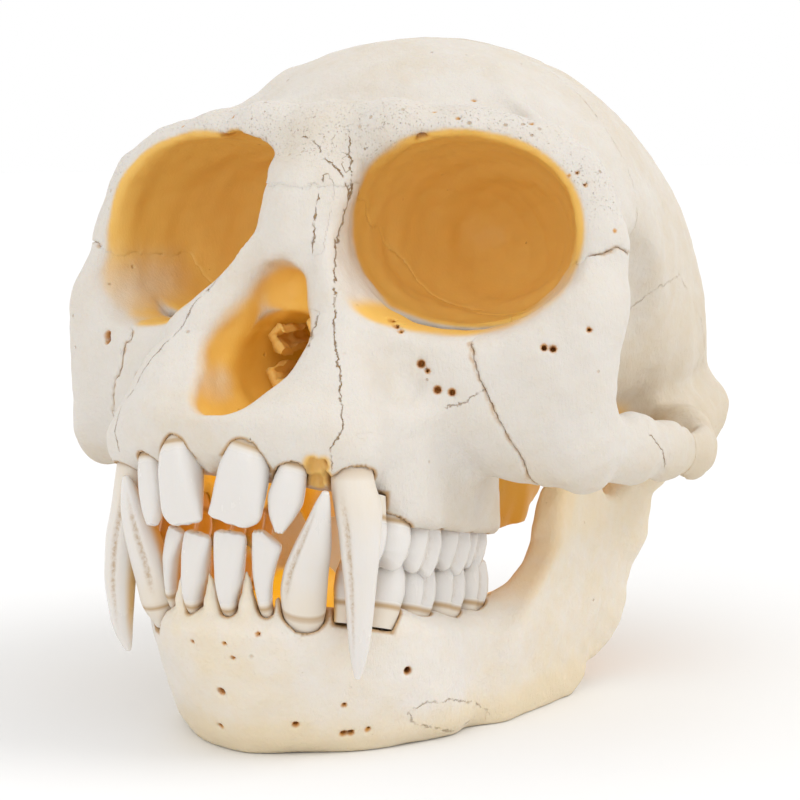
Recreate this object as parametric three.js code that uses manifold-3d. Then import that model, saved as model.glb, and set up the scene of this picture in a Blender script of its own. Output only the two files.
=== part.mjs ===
import * as THREE from 'three';
import { mergeVertices } from 'three/addons/utils/BufferGeometryUtils.js';
import Module from 'manifold-3d';

// Monkey skull, adult male, life size. All sizes are in millimetres.
// X is to the skull's own left, -Y is the way the face looks, +Z is up.
// The skull is sculpted with glabella, the middle of the brow, at y = 0 and the table at z = 0.
// At the end the whole group is moved so that its origin is under the middle of its bounding box.

const wasm = await Module();
wasm.setup();

// Driving sizes
const SUTURE_GAP = 0.3;
const BONE_STEP = 1.5;
const JAW_STEP = 1.3;
const CRANIUM_TRIANGLES = 7400;
const JAW_TRIANGLES = 2500;
const TOOTH_SIDES = 8;

// Braincase: the middle of each egg and how far it reaches from there
const VAULT = { middle: [0, 44, 44], half: 28.4, front: 35, back: 34, up: 36.3, down: 19, slope: 0.13 };
const FOREHEAD = { middle: [0, 22, 56], half: 30.6, front: 22, back: 28, up: 26, down: 20 };
const NECK_BASE = { middle: [0, 50, 36], half: 22, front: 24, back: 24, up: 12, down: 9 };
const BRAIN = { middle: [0, 44, 46], half: 24.6, front: 31.2, back: 30, up: 31, down: 12, slope: 0.13 };

// Orbit: an egg-shaped cup that opens forwards and points at its apex
const ORBIT = {
  mouth: [17.9, 0.4, 59.5], apex: [9.5, 26, 57], half: 13.4, up: 10.8, tilt: 0.08,
  squareness: 2.15, flare: 0.012, wall: 2.8, wallFront: 5,
};

// Bars and rods of the brow and the face, as [x, y, z, radius] along each
const BROW_RING = [
  [0, 2.4, 70.6, 4], [9, 2.1, 70.8, 3.4], [17, 3.6, 69.6, 3.1], [24, 5.6, 67.2, 3.1],
  [29.8, 6.8, 63.6, 3.3], [32.6, 5.6, 57.6, 3.1], [33.3, 3.6, 51.8, 3.2], [32.4, 1.6, 46.6, 3.4],
];
const LOWER_RIM = [
  [32.6, 2.4, 49.5, 3], [28, -1.6, 45.6, 3], [20, -5.4, 45, 2.9], [12, -8.2, 48.2, 2.8],
  [6.4, -7, 56, 2.5], [3.6, -2, 65, 3],
];
const NOSE_BRIDGE = [[0, 0.6, 69, 3.8], [0, -4.2, 62, 3.5], [0, -7, 57.5, 3.4]];
const NOSE_SIDE = [[4.6, -6, 56, 3], [8.8, -10.6, 48.5, 4], [10.6, -16.6, 41, 4.4], [13.8, -19.4, 35.6, 3.8]];
const PREMAXILLA = [[0, -22.2, 36.2, 3.2], [7.5, -21.2, 36.6, 3.4], [12.5, -18.5, 36, 3.6]];
const CHEEK_ROOT = [[17, -5, 40, 6.2], [23, -0.6, 39, 6], [28, 1.6, 38, 5]];
const ARCH_ROOT = [[33, 34, 31, 2.2], [28.4, 41, 31.2, 2.8], [24.6, 46, 31.2, 3.4]];
const NUCHAL_CREST = [[26.6, 50, 31.5, 2], [24.6, 61, 33, 2.4], [12.8, 74.6, 39.5, 2], [0, 78.6, 43.5, 2.2]];
const SKULL_FLOOR = [[0, 40, 32, 7], [0, 20, 36, 7.5]];

// Flat bars, as [x, y, z, reach, thickness] along each, and the direction of their thickness
const SEPTUM = { points: [[0, -2, 60, 7, 4.4], [0, 20, 57, 9, 6.5]], thin: [1, 0, 0], join: 3 };
const CHEEK = {
  points: [[32, 1.4, 49, 4, 3], [29.4, -0.4, 42, 6.2, 3.2], [29.6, 0.2, 36.2, 6.2, 3.4]],
  thin: [0.12, -0.99, 0], join: 4,
};
const CHEEK_ARCH = {
  points: [
    [33.6, 2.4, 34.2, 4.2, 2.8], [36, 9, 33.6, 3, 2], [37, 17, 32.8, 2.7, 1.8],
    [35.6, 28, 31.4, 2.8, 1.8], [30.8, 38, 31.4, 2.8, 2.2],
  ],
  thin: [1, 0, 0], join: 3,
};
const PTERYGOID = {
  points: [[8.5, 12, 34, 5, 1.2], [10, 18, 31, 4.5, 1.2], [11.5, 23, 32, 3.5, 1.4]],
  thin: [1, 0, 0], join: 2,
};

// Rounded masses, as their middle and three radii
const SNOUT = { middle: [0, -7, 37], half: 16, front: 19, back: 18, up: 9.5, down: 6 };
const MASTOID = [[24.4, 51, 30.2], [3.9, 7.5, 5.2]];
const NECK_CONDYLE = [[7, 60, 26.5], [3.2, 5.5, 3.4]];
const EAR_BULLA = [[17, 44, 28], [5.5, 8, 4.2]];
const JAW_TUBER = [[13.5, 1.5, 33], [6, 8, 9]];
const SPHENOID = [[11, 18, 44], [12, 12, 11]];
const ETHMOID = [[0, 4, 51.5], [9.5, 13, 8.5]];

// Openings and hollows of the cranium
const NOSE_HOLE = {
  points: [[0, -12, 52.6, 3.2, 5], [0, -16, 47.2, 5.6, 6.4], [0, -19, 42.6, 5, 8]], thin: [0, 1, 0], join: 3,
};
const NOSE_POCKET = [[0, 4, 44.5, 4.2], [0, -8, 44, 5], [0, -16, 43.2, 4.6]];
const FORAMEN_MAGNUM = [[0, 62, 18, 6.4], [0, 59, 40, 6.4]];
const EAR_HOLE = [[36, 46, 31.5, 2], [23, 46, 31.5, 1.6]];
const CHOANA = [[4, 9, 36.5, 3], [4, 26, 33, 3.4]];
const TEMPLE_HOLLOW = [[31, 24, 43], [6.2, 11, 15]];

// Dental arches in plan: half width at the molars, where the curve starts, its length and roundness
const UPPER_ARCH = { half: 15.8, start: -5, length: 19.8, roundness: 2.6, inward: 1.4 };
const LOWER_ARCH = { half: 14.3, start: -5, length: 17.8, roundness: 2.0, inward: -1.0 };
const JAW_BASE_ARCH = { half: 15.8, start: -2, length: 16.6, roundness: 1.55, inward: -0.6 };

// Upper jaw: the tooth-bearing wall, its lower edge from the last molar to the incisors, and the palate
const UPPER_WALL = { half: 4.1, halfInFront: 2.5, front: [-12, -20], top: 40, round: 1.6, back: 8.8 };
const UPPER_EDGE = { height: 26.4, middle: -13, slope: 0.19, inFront: 35.4, front: [-14.5, -20], most: -16 };
const PALATE = { inset: 3.2, back: 40, height: [35.5, 33], from: [-20, 6], fillet: 3 };

// Lower jaw: its body, flat underneath where it rests, and the upright plate behind it
const JAW_BODY = {
  top: [17.8, 13.9], topFrom: [-22, 6], half: [4, 4.3], halfFrom: [-22, -12], narrowing: 1.3,
  narrowFrom: [14, 0], round: 3, bottom: -0.35, back: 24.5, planFrom: [1, 15],
};
const RAMUS = {
  front: [5.5, 16.2], frontFrom: [9, 22], back: [30.5, 41.6], backFrom: [-3, 23], top: 27,
  low: [-1.3, 3], lowFrom: [20.5, 29.5], middle: [19.9, 20, 10], lean: 0.13, leanBelow: 0.2, splay: 0.05,
  half: [2.6, 1.9], halfFrom: [8, 30], round: 1.4, fillet: 5,
};
const JAW_ANGLE = [[0, 25.5, 10.5], [100, 10.2, 9.4]];
const JAW_NOTCH = [[0, 31, 31.5], [100, 5.2, 6.5]];
const CORONOID = [[0, 22.5, 27], [100, 5, 11]];
const JAW_CONDYLE = [[19, 40, 26.6, 2.4], [25.6, 39.2, 26.9, 2.4]];
const JAW_NECK = [[22.6, 39.2, 25.5, 2.3], [22.2, 37.4, 19, 2.4]];
const JAW_CLEARANCE = 0.35;

// Tooth shapes, as rings [place along the tooth, width, depth] from the sunk root at -1 to the tip at 1
const INCISOR = [[-0.75, 0.62, 0.72], [0, 0.84, 1.0], [0.4, 0.95, 0.86], [0.8, 1.0, 0.52], [1, 0.94, 0.24]];
const TUSK = [
  [-0.4, 0.85, 0.85], [0, 1, 1], [0.3, 0.9, 0.88], [0.6, 0.7, 0.68], [0.87, 0.4, 0.4], [1, 0.12, 0.14],
];
const PEG = [[-0.7, 0.7, 0.8], [0, 0.9, 1.0], [0.4, 0.96, 0.9], [0.78, 0.72, 0.55], [1, 0.25, 0.2]];
const MOLAR = [[-0.9, 0.72, 0.78], [0, 0.88, 0.92], [0.45, 1, 1], [0.9, 0.86, 0.8]];
const CUSP = { rise: 0.16, groove: -0.04, basin: -0.06 };

// Teeth of the left side from the middle of the row to its back, each with its neck, the middle of its tip,
// the direction of its outer face in plan, its width along the row and its depth across it
const UPPER_TEETH = [
  { neck: [3.5, -25.3, 36.2], tip: [3.6, -27.4, 28.2], out: [0.1, -1, 0], size: [6.2, 4.8], rings: INCISOR },
  { neck: [8.9, -23.6, 35.2], tip: [8.8, -25.4, 27.2], out: [0.3, -1, 0], size: [4.5, 4.4], rings: PEG },
  { neck: [14.4, -20.3, 34.8], tip: [15.2, -20.8, 10.3], out: [0.9, -0.4, 0], size: [5.2, 4.6], rings: TUSK,
    bow: 0.9 },
  { neck: [15.4, -16, 27], tip: [15.3, -16, 22], out: [1, -0.1, 0], size: [4, 5], rings: MOLAR },
  { neck: [16, -11.9, 26.4], tip: [15.8, -11.9, 21.4], out: [1, 0, 0], size: [4.2, 5.6], rings: MOLAR },
  { neck: [16.2, -6.6, 25.6], tip: [15.9, -6.6, 20.6], out: [1, 0, 0], size: [6.1, 6.1], rings: MOLAR },
  { neck: [15.9, -0.2, 24.4], tip: [15.6, -0.2, 19.4], out: [1, 0.05, 0], size: [6.3, 6.3], rings: MOLAR },
  { neck: [15, 5.7, 23.4], tip: [14.8, 5.7, 18.4], out: [1, 0.2, 0], size: [5.4, 5.8], rings: MOLAR },
];
const LOWER_TEETH = [
  { neck: [2, -24.4, 18.2], tip: [2.1, -26.2, 26.3], out: [0, -1, 0], size: [4, 3.6], rings: INCISOR },
  { neck: [5.9, -23.4, 18], tip: [6.4, -25.2, 26], out: [0.35, -1, 0], size: [4, 3.6], rings: INCISOR },
  { neck: [10, -21.4, 17.2], tip: [13.4, -25, 30], out: [0.6, -0.8, 0], size: [5, 4], rings: TUSK, bow: 0.4 },
  { neck: [13, -16.4, 16.4], tip: [13.2, -16.4, 20.6], out: [1, -0.3, 0], size: [4.6, 4.2], rings: PEG },
  { neck: [14, -11.9, 15.8], tip: [14.1, -11.9, 20.2], out: [1, -0.1, 0], size: [4.4, 4.8], rings: MOLAR },
  { neck: [14.4, -6.4, 15.2], tip: [14.5, -6.4, 19.4], out: [1, 0, 0], size: [6.2, 5.4], rings: MOLAR },
  { neck: [14.6, 0.1, 14.6], tip: [14.8, 0.1, 18.3], out: [1, 0, 0], size: [6.4, 5.8], rings: MOLAR },
  { neck: [15, 6.4, 14.2], tip: [15.2, 6.4, 17.4], out: [1, 0, 0], size: [5.8, 5.4], rings: MOLAR },
];

// Sutures, as the outline of the region on one side of each: the cheekbone and its arch from the front,
// the upper jaw and the nose from the side
const CHEEKBONE_FRONT = [[28.8, 20], [28, 33], [24.6, 42], [22, 49.4], [24, 56.2], [31, 56], [35, 57.2],
  [48, 57], [48, 20]];
const CHEEKBONE_DEPTH = [-40, 13];
const ARCH_FRONT = [[29.5, 20], [29.5, 40], [48, 40], [48, 20]];
const ARCH_DEPTH = [12, 23];
const UPPER_JAW_SIDE = [[-45, 50.5], [10, 50.5], [14, 44], [11, 36], [11, 10], [-45, 10]];
const UPPER_JAW_HALF_WIDTH = 60;
const NOSE_SIDE_OUTLINE = [[-45, 65], [-2, 64.4], [6, 60], [14, 55], [14, 44], [-45, 44]];
const NOSE_HALF_WIDTH = 14;

// Space that each surface is sculpted in
const CRANIUM_BOX = [[-42, -34, 18], [42, 84, 86]];
const JAW_BOX = [[-34, -32, -2], [34, 50, 44]];

// Colours of the dry bone
const FINISH = {
  braincase: { color: 0xefe7da, roughness: 0.62, metalness: 0 },
  face: { color: 0xf0e9dc, roughness: 0.6, metalness: 0 },
  cheekbone_left: { color: 0xefe6d6, roughness: 0.6, metalness: 0 },
  cheekbone_right: { color: 0xefe6d6, roughness: 0.6, metalness: 0 },
  mandible: { color: 0xeee2c8, roughness: 0.58, metalness: 0 },
};

// Small maths helpers
const clamp = (value, low, high) => Math.min(high, Math.max(low, value));
const mix = (a, b, t) => a + (b - a) * t;
const smooth = (low, high, value) => {
  const t = clamp((value - low) / (high - low), 0, 1);
  return t * t * (3 - 2 * t);
};
const fade = ([a, b], [from, to], value) => mix(a, b, smooth(from, to, value));

// A field is a function of a point: below zero inside the bone, above zero outside, in millimetres.
function blend(a, b, radius) {
  const h = Math.max(radius - Math.abs(a - b), 0) / radius;
  return Math.min(a, b) - h * h * radius / 4;
}

function carve(body, hole, radius) {
  return -blend(-body, hole, radius);
}

// Egg: an ellipsoid with its own reach forwards, backwards, up and down
function egg({ middle, half, front, back, up, down, slope = 0 }) {
  return (x, y, z) => {
    const dx = x - middle[0];
    const dy = y - middle[1];
    const dz = z - middle[2] + slope * dy;
    const ry = dy < 0 ? front : back;
    const rz = dz > 0 ? up : down;
    const k0 = Math.hypot(dx / half, dy / ry, dz / rz);
    const k1 = Math.hypot(dx / (half * half), dy / (ry * ry), dz / (rz * rz));
    return k1 > 1e-9 ? k0 * (k0 - 1) / k1 : -Math.min(half, ry, rz);
  };
}

// Ball: an ellipsoid of three radii
function ball([middle, [rx, ry, rz]]) {
  return egg({ middle, half: rx, front: ry, back: ry, up: rz, down: rz });
}

// Where a point stands beside the line from a to b: the place along it and the way to it
function beside([ax, ay, az], [bx, by, bz], x, y, z) {
  const dx = bx - ax;
  const dy = by - ay;
  const dz = bz - az;
  const along = ((x - ax) * dx + (y - ay) * dy + (z - az) * dz) / (dx * dx + dy * dy + dz * dz);
  const t = clamp(along, 0, 1);
  return [t, x - ax - dx * t, y - ay - dy * t, z - az - dz * t];
}

// Rod: a chain of round cones through [x, y, z, radius]
function rod(points, join) {
  return (x, y, z) => {
    let best = Infinity;
    for (let i = 0; i + 1 < points.length; i += 1) {
      const [t, vx, vy, vz] = beside(points[i], points[i + 1], x, y, z);
      const d = Math.hypot(vx, vy, vz) - mix(points[i][3], points[i + 1][3], t);
      best = i === 0 ? d : blend(best, d, join);
    }
    return best;
  };
}

// Strap: a chain of flat bars through [x, y, z, reach, thickness]
function strap({ points, thin, join }) {
  return (x, y, z) => {
    let best = Infinity;
    for (let i = 0; i + 1 < points.length; i += 1) {
      const [t, vx, vy, vz] = beside(points[i], points[i + 1], x, y, z);
      const n = vx * thin[0] + vy * thin[1] + vz * thin[2];
      const w = Math.sqrt(Math.max(vx * vx + vy * vy + vz * vz - n * n, 0));
      const reach = mix(points[i][3], points[i + 1][3], t);
      const thick = mix(points[i][4], points[i + 1][4], t);
      const d = (Math.hypot(w / reach, n / thick) - 1) * Math.min(reach, thick);
      best = i === 0 ? d : blend(best, d, join);
    }
    return best;
  };
}

// Distance outwards from a dental arch's middle line, in plan
const ARCH_DEEP = 14;
const ARCH_MOST = 1.4;

function archDistance(arch, x, y) {
  const forward = Math.max(arch.start - y, 0) / arch.length;
  const behind = clamp((y - arch.start) / ARCH_DEEP, 0, ARCH_MOST);
  const half = arch.half - arch.inward * behind * behind;
  const power = Math.pow(Math.abs(x) / half, arch.roundness) + Math.pow(forward, arch.roundness);
  return (Math.pow(power, 1 / arch.roundness) - 1) * fade([half, arch.length], [0.2, 1], forward);
}

// Slab: a rounded wall of half thickness t around s = 0 between two heights
function slab(s, z, t, low, high, round) {
  const ds = Math.abs(s) - (t - round);
  const dz = Math.abs(z - (low + high) / 2) - ((high - low) / 2 - round);
  return Math.hypot(Math.max(ds, 0), Math.max(dz, 0)) + Math.min(Math.max(ds, dz), 0) - round;
}

// Orbit cup: an ellipse across, closing towards the apex
function orbitCup(grow) {
  const mouth = new THREE.Vector3(...ORBIT.mouth);
  const axis = new THREE.Vector3(...ORBIT.apex).sub(mouth);
  const depth = axis.length() + grow;
  axis.normalize();
  const side = new THREE.Vector3(0, 0, 1).cross(axis).normalize().applyAxisAngle(axis, ORBIT.tilt);
  const top = axis.clone().cross(side);
  return (x, y, z) => {
    const from = new THREE.Vector3(x, y, z).sub(mouth);
    const t = from.dot(axis);
    const flare = 1 + ORBIT.flare * Math.max(-t, 0);
    const ra = (ORBIT.half + grow) * flare;
    const rb = (ORBIT.up + grow) * flare;
    const power = Math.pow(Math.abs(from.dot(side)) / ra, ORBIT.squareness)
      + Math.pow(Math.abs(from.dot(top)) / rb, ORBIT.squareness);
    const k = Math.hypot(Math.pow(power, 1 / ORBIT.squareness), Math.max(t, 0) / depth);
    return (k - 1) * Math.min(ra, rb);
  };
}

const orbit = orbitCup(0);
const orbitGrown = orbitCup(ORBIT.wall);
const orbitShell = (x, y, z) => {
  const behind = Math.max(y, ORBIT.wallFront);
  return orbitGrown(x, behind, z) + behind - y;
};

// Parts in the order they are joined, each with the radius of the fillet where it meets the rest
const BRAINCASE_PARTS = [
  [egg(VAULT), 0], [egg(FOREHEAD), 9], [egg(NECK_BASE), 6], [ball(MASTOID), 4], [rod(NUCHAL_CREST, 3), 5],
  [ball(NECK_CONDYLE), 2], [ball(EAR_BULLA), 3], [rod(SKULL_FLOOR, 4), 5], [ball(SPHENOID), 5],
  [orbitShell, 4], [strap(SEPTUM), 3], [rod(BROW_RING, 3), 4],
];
const FACE_PARTS = [
  [egg(SNOUT), 0], [rod(NOSE_SIDE, 4), 5], [rod(PREMAXILLA, 4), 4], [rod(CHEEK_ROOT, 4), 5],
  [ball(JAW_TUBER), 4], [ball(ETHMOID), 3], [rod(LOWER_RIM, 3), 4], [rod(NOSE_BRIDGE, 4), 3],
  [strap(CHEEK), 4],
];
const ARCH_PARTS = [
  [strap(CHEEK_ARCH), 3], [rod(ARCH_ROOT, 3), 5], [strap(PTERYGOID), 1.5], [upperWall, 2.5],
];
const brain = egg(BRAIN);
const foramen = rod(FORAMEN_MAGNUM, 3);
const HOLLOWS = [
  [palate, PALATE.fillet], [orbit, 1.6], [strap(NOSE_HOLE), 1.4], [rod(NOSE_POCKET, 3), 1.5],
  [rod(CHOANA, 1), 1.5], [ball(TEMPLE_HOLLOW), 3], [rod(EAR_HOLE, 1), 1],
  [(x, y, z) => Math.min(foramen(x, y, z), carve(brain(x, y, z), orbitShell(x, y, z), 2)), 2],
];

// Tooth-bearing wall of the upper jaw: its edge falls from the incisors to the last molar
function upperWall(x, y, z) {
  const { half, halfInFront, front, top, round, back } = UPPER_WALL;
  const beneath = UPPER_EDGE.height - UPPER_EDGE.slope * (Math.max(y, UPPER_EDGE.most) - UPPER_EDGE.middle);
  const edge = fade([beneath, UPPER_EDGE.inFront], UPPER_EDGE.front, y);
  const wall = slab(archDistance(UPPER_ARCH, x, y), z, fade([half, halfInFront], front, y), edge, top, round);
  return Math.max(wall, y - back);
}

function palate(x, y, z) {
  const inside = archDistance(UPPER_ARCH, x, y) + PALATE.inset;
  return Math.max(inside, z - fade(PALATE.height, PALATE.from, y), y - PALATE.back);
}

function joined(parts, x, y, z) {
  return parts.reduce((f, [part, fillet], i) => {
    const d = part(x, y, z);
    return i === 0 ? d : blend(f, d, fillet);
  }, 0);
}

function cranium(across, y, z) {
  const x = Math.abs(across);
  let f = blend(joined(BRAINCASE_PARTS, x, y, z), joined(FACE_PARTS, x, y, z), 3);
  for (const [part, fillet] of ARCH_PARTS) f = blend(f, part(x, y, z), fillet);
  for (const [hollow, fillet] of HOLLOWS) f = carve(f, hollow(x, y, z), fillet);
  return f;
}

// Lower jaw: the horseshoe body, whose plan widens towards its base, and the ramus behind it
function jawBody(x, y, z) {
  const level = clamp((z - JAW_BODY.planFrom[0]) / (JAW_BODY.planFrom[1] - JAW_BODY.planFrom[0]), 0, 1);
  const plan = {};
  for (const key of Object.keys(LOWER_ARCH)) plan[key] = mix(JAW_BASE_ARCH[key], LOWER_ARCH[key], level);
  const narrowing = JAW_BODY.narrowing * smooth(...JAW_BODY.narrowFrom, z);
  const half = fade(JAW_BODY.half, JAW_BODY.halfFrom, y) - narrowing;
  const top = fade(JAW_BODY.top, JAW_BODY.topFrom, y);
  const wall = slab(archDistance(plan, x, y), z, half, JAW_BODY.bottom, top, JAW_BODY.round);
  return Math.max(wall, y - JAW_BODY.back);
}

const coronoid = ball(CORONOID);
const notch = ball(JAW_NOTCH);
const angle = ball(JAW_ANGLE);

function ramus(x, y, z) {
  const front = y - fade(RAMUS.front, RAMUS.frontFrom, z);
  const back = fade(RAMUS.back, RAMUS.backFrom, z) - y;
  let outline = Math.max(-front, -back, z - RAMUS.top);
  outline = blend(outline, coronoid(0, y, z), 4);
  outline = carve(outline, notch(0, y, z), 3);
  outline = blend(outline, angle(0, y, z), 5);
  outline = carve(outline, z - fade(RAMUS.low, RAMUS.lowFrom, y), 3);
  const [acrossAt, yAt, zAt] = RAMUS.middle;
  const lean = (z < zAt ? RAMUS.leanBelow : RAMUS.lean) * (z - zAt);
  const across = x - acrossAt - lean - RAMUS.splay * (y - yAt);
  const d = Math.abs(across) - fade(RAMUS.half, RAMUS.halfFrom, z);
  const corner = Math.hypot(Math.max(outline + RAMUS.round, 0), Math.max(d + RAMUS.round, 0));
  return corner + Math.min(Math.max(outline, d) + RAMUS.round, 0) - RAMUS.round;
}

const jawNeck = rod(JAW_NECK, 2);
const jawCondyle = rod(JAW_CONDYLE, 2);

function mandible(across, y, z) {
  const x = Math.abs(across);
  let f = blend(jawBody(x, y, z), ramus(x, y, z), RAMUS.fillet);
  f = blend(f, jawNeck(x, y, z), 3);
  f = blend(f, jawCondyle(x, y, z), 2);
  return Math.max(f, -z, JAW_CLEARANCE - cranium(x, y, z));
}

// Surface of a field by marching tetrahedra: each cube of the grid is six tetrahedra round its diagonal
const AXIS_ORDERS = [[1, 2, 4], [1, 4, 2], [2, 1, 4], [2, 4, 1], [4, 1, 2], [4, 2, 1]];

function polygonise(field, low, high, step) {
  const n = low.map((value, i) => Math.ceil((high[i] - value) / step) + 1);
  const at = (i, j, k) => (k * n[1] + j) * n[0] + i;
  const values = new Float64Array(n[0] * n[1] * n[2]);
  for (let k = 0; k < n[2]; k += 1) {
    for (let j = 0; j < n[1]; j += 1) {
      for (let i = 0; i < n[0]; i += 1) {
        values[at(i, j, k)] = field(low[0] + i * step, low[1] + j * step, low[2] + k * step) || 1e-9;
      }
    }
  }
  const corner = (i, j, k, bits) => [i + (bits & 1), j + ((bits >> 1) & 1), k + ((bits >> 2) & 1)];
  const points = [];
  const faces = [];
  const known = new Map();
  const crossing = (a, b) => {
    const ia = at(...a);
    const ib = at(...b);
    const key = ia < ib ? ia * values.length + ib : ib * values.length + ia;
    if (!known.has(key)) {
      const t = values[ia] / (values[ia] - values[ib]);
      known.set(key, points.length);
      points.push(a.map((value, m) => low[m] + (value + (b[m] - value) * t) * step));
    }
    return known.get(key);
  };
  for (let k = 0; k + 1 < n[2]; k += 1) {
    for (let j = 0; j + 1 < n[1]; j += 1) {
      for (let i = 0; i + 1 < n[0]; i += 1) {
        const first = values[at(i, j, k)] < 0;
        let same = true;
        for (let bits = 1; bits < 8 && same; bits += 1) {
          same = (values[at(...corner(i, j, k, bits))] < 0) === first;
        }
        if (same) continue;
        for (const [a, b, c] of AXIS_ORDERS) {
          const tet = [0, a, a | b, a | b | c].map((bits) => corner(i, j, k, bits));
          const inside = tet.filter((p) => values[at(...p)] < 0);
          const outside = tet.filter((p) => values[at(...p)] >= 0);
          if (!inside.length || !outside.length) continue;
          let ring;
          if (inside.length === 1) ring = outside.map((p) => crossing(inside[0], p));
          else if (outside.length === 1) ring = inside.map((p) => crossing(p, outside[0]));
          else {
            ring = [crossing(inside[0], outside[0]), crossing(inside[0], outside[1]),
              crossing(inside[1], outside[1]), crossing(inside[1], outside[0])];
          }
          const out = [0, 1, 2].map((m) => outside[0][m] - inside[0][m]);
          const [p, q, r] = ring.map((v) => points[v]);
          const e = [0, 1, 2].map((m) => q[m] - p[m]);
          const g = [0, 1, 2].map((m) => r[m] - p[m]);
          const facing = out[0] * (e[1] * g[2] - e[2] * g[1]) + out[1] * (e[2] * g[0] - e[0] * g[2])
            + out[2] * (e[0] * g[1] - e[1] * g[0]);
          if (facing < 0) ring.reverse();
          for (let v = 1; v + 1 < ring.length; v += 1) faces.push([ring[0], ring[v], ring[v + 1]]);
        }
      }
    }
  }
  return { points, faces };
}

// Even out a surface: each point moves to the middle of its neighbours and back onto the field's zero
const RELAX_ROUNDS = 3;
const GRADIENT_STEP = 0.05;
const FURTHEST_BACK = 0.8;

function settled(field, [x, y, z]) {
  const f = field(x, y, z);
  const gx = (field(x + GRADIENT_STEP, y, z) - f) / GRADIENT_STEP;
  const gy = (field(x, y + GRADIENT_STEP, z) - f) / GRADIENT_STEP;
  const gz = (field(x, y, z + GRADIENT_STEP) - f) / GRADIENT_STEP;
  const steep = Math.max(gx * gx + gy * gy + gz * gz, 0.25);
  const back = clamp(f / steep, -FURTHEST_BACK, FURTHEST_BACK);
  return [x - gx * back, y - gy * back, z - gz * back];
}

function relax({ points, faces }, field) {
  const near = points.map(() => new Set());
  for (const [a, b, c] of faces) {
    near[a].add(b).add(c);
    near[b].add(c).add(a);
    near[c].add(a).add(b);
  }
  let places = points;
  for (let round = 0; round < RELAX_ROUNDS; round += 1) {
    places = places.map((_, v) => {
      const sum = [0, 0, 0];
      for (const w of near[v]) places[w].forEach((value, m) => { sum[m] += value; });
      return settled(field, sum.map((value) => value / near[v].size));
    });
  }
  return { points: places, faces };
}

// Simplify a closed surface by collapsing its cheapest edges, with the planes round each vertex as the cost.
// A long edge costs a little more, and a collapse that would fold a triangle or draw it thin is refused.
const LENGTH_COST = 0.002;
const HOLD = 0.01;
const LONGEST_MOVE = 1;
const THINNEST = 0.14;
const THINNER_BY = 0.6;
const MOST_TURN = 0.3;

const distance2 = (p, q) => (p[0] - q[0]) ** 2 + (p[1] - q[1]) ** 2 + (p[2] - q[2]) ** 2;

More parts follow.
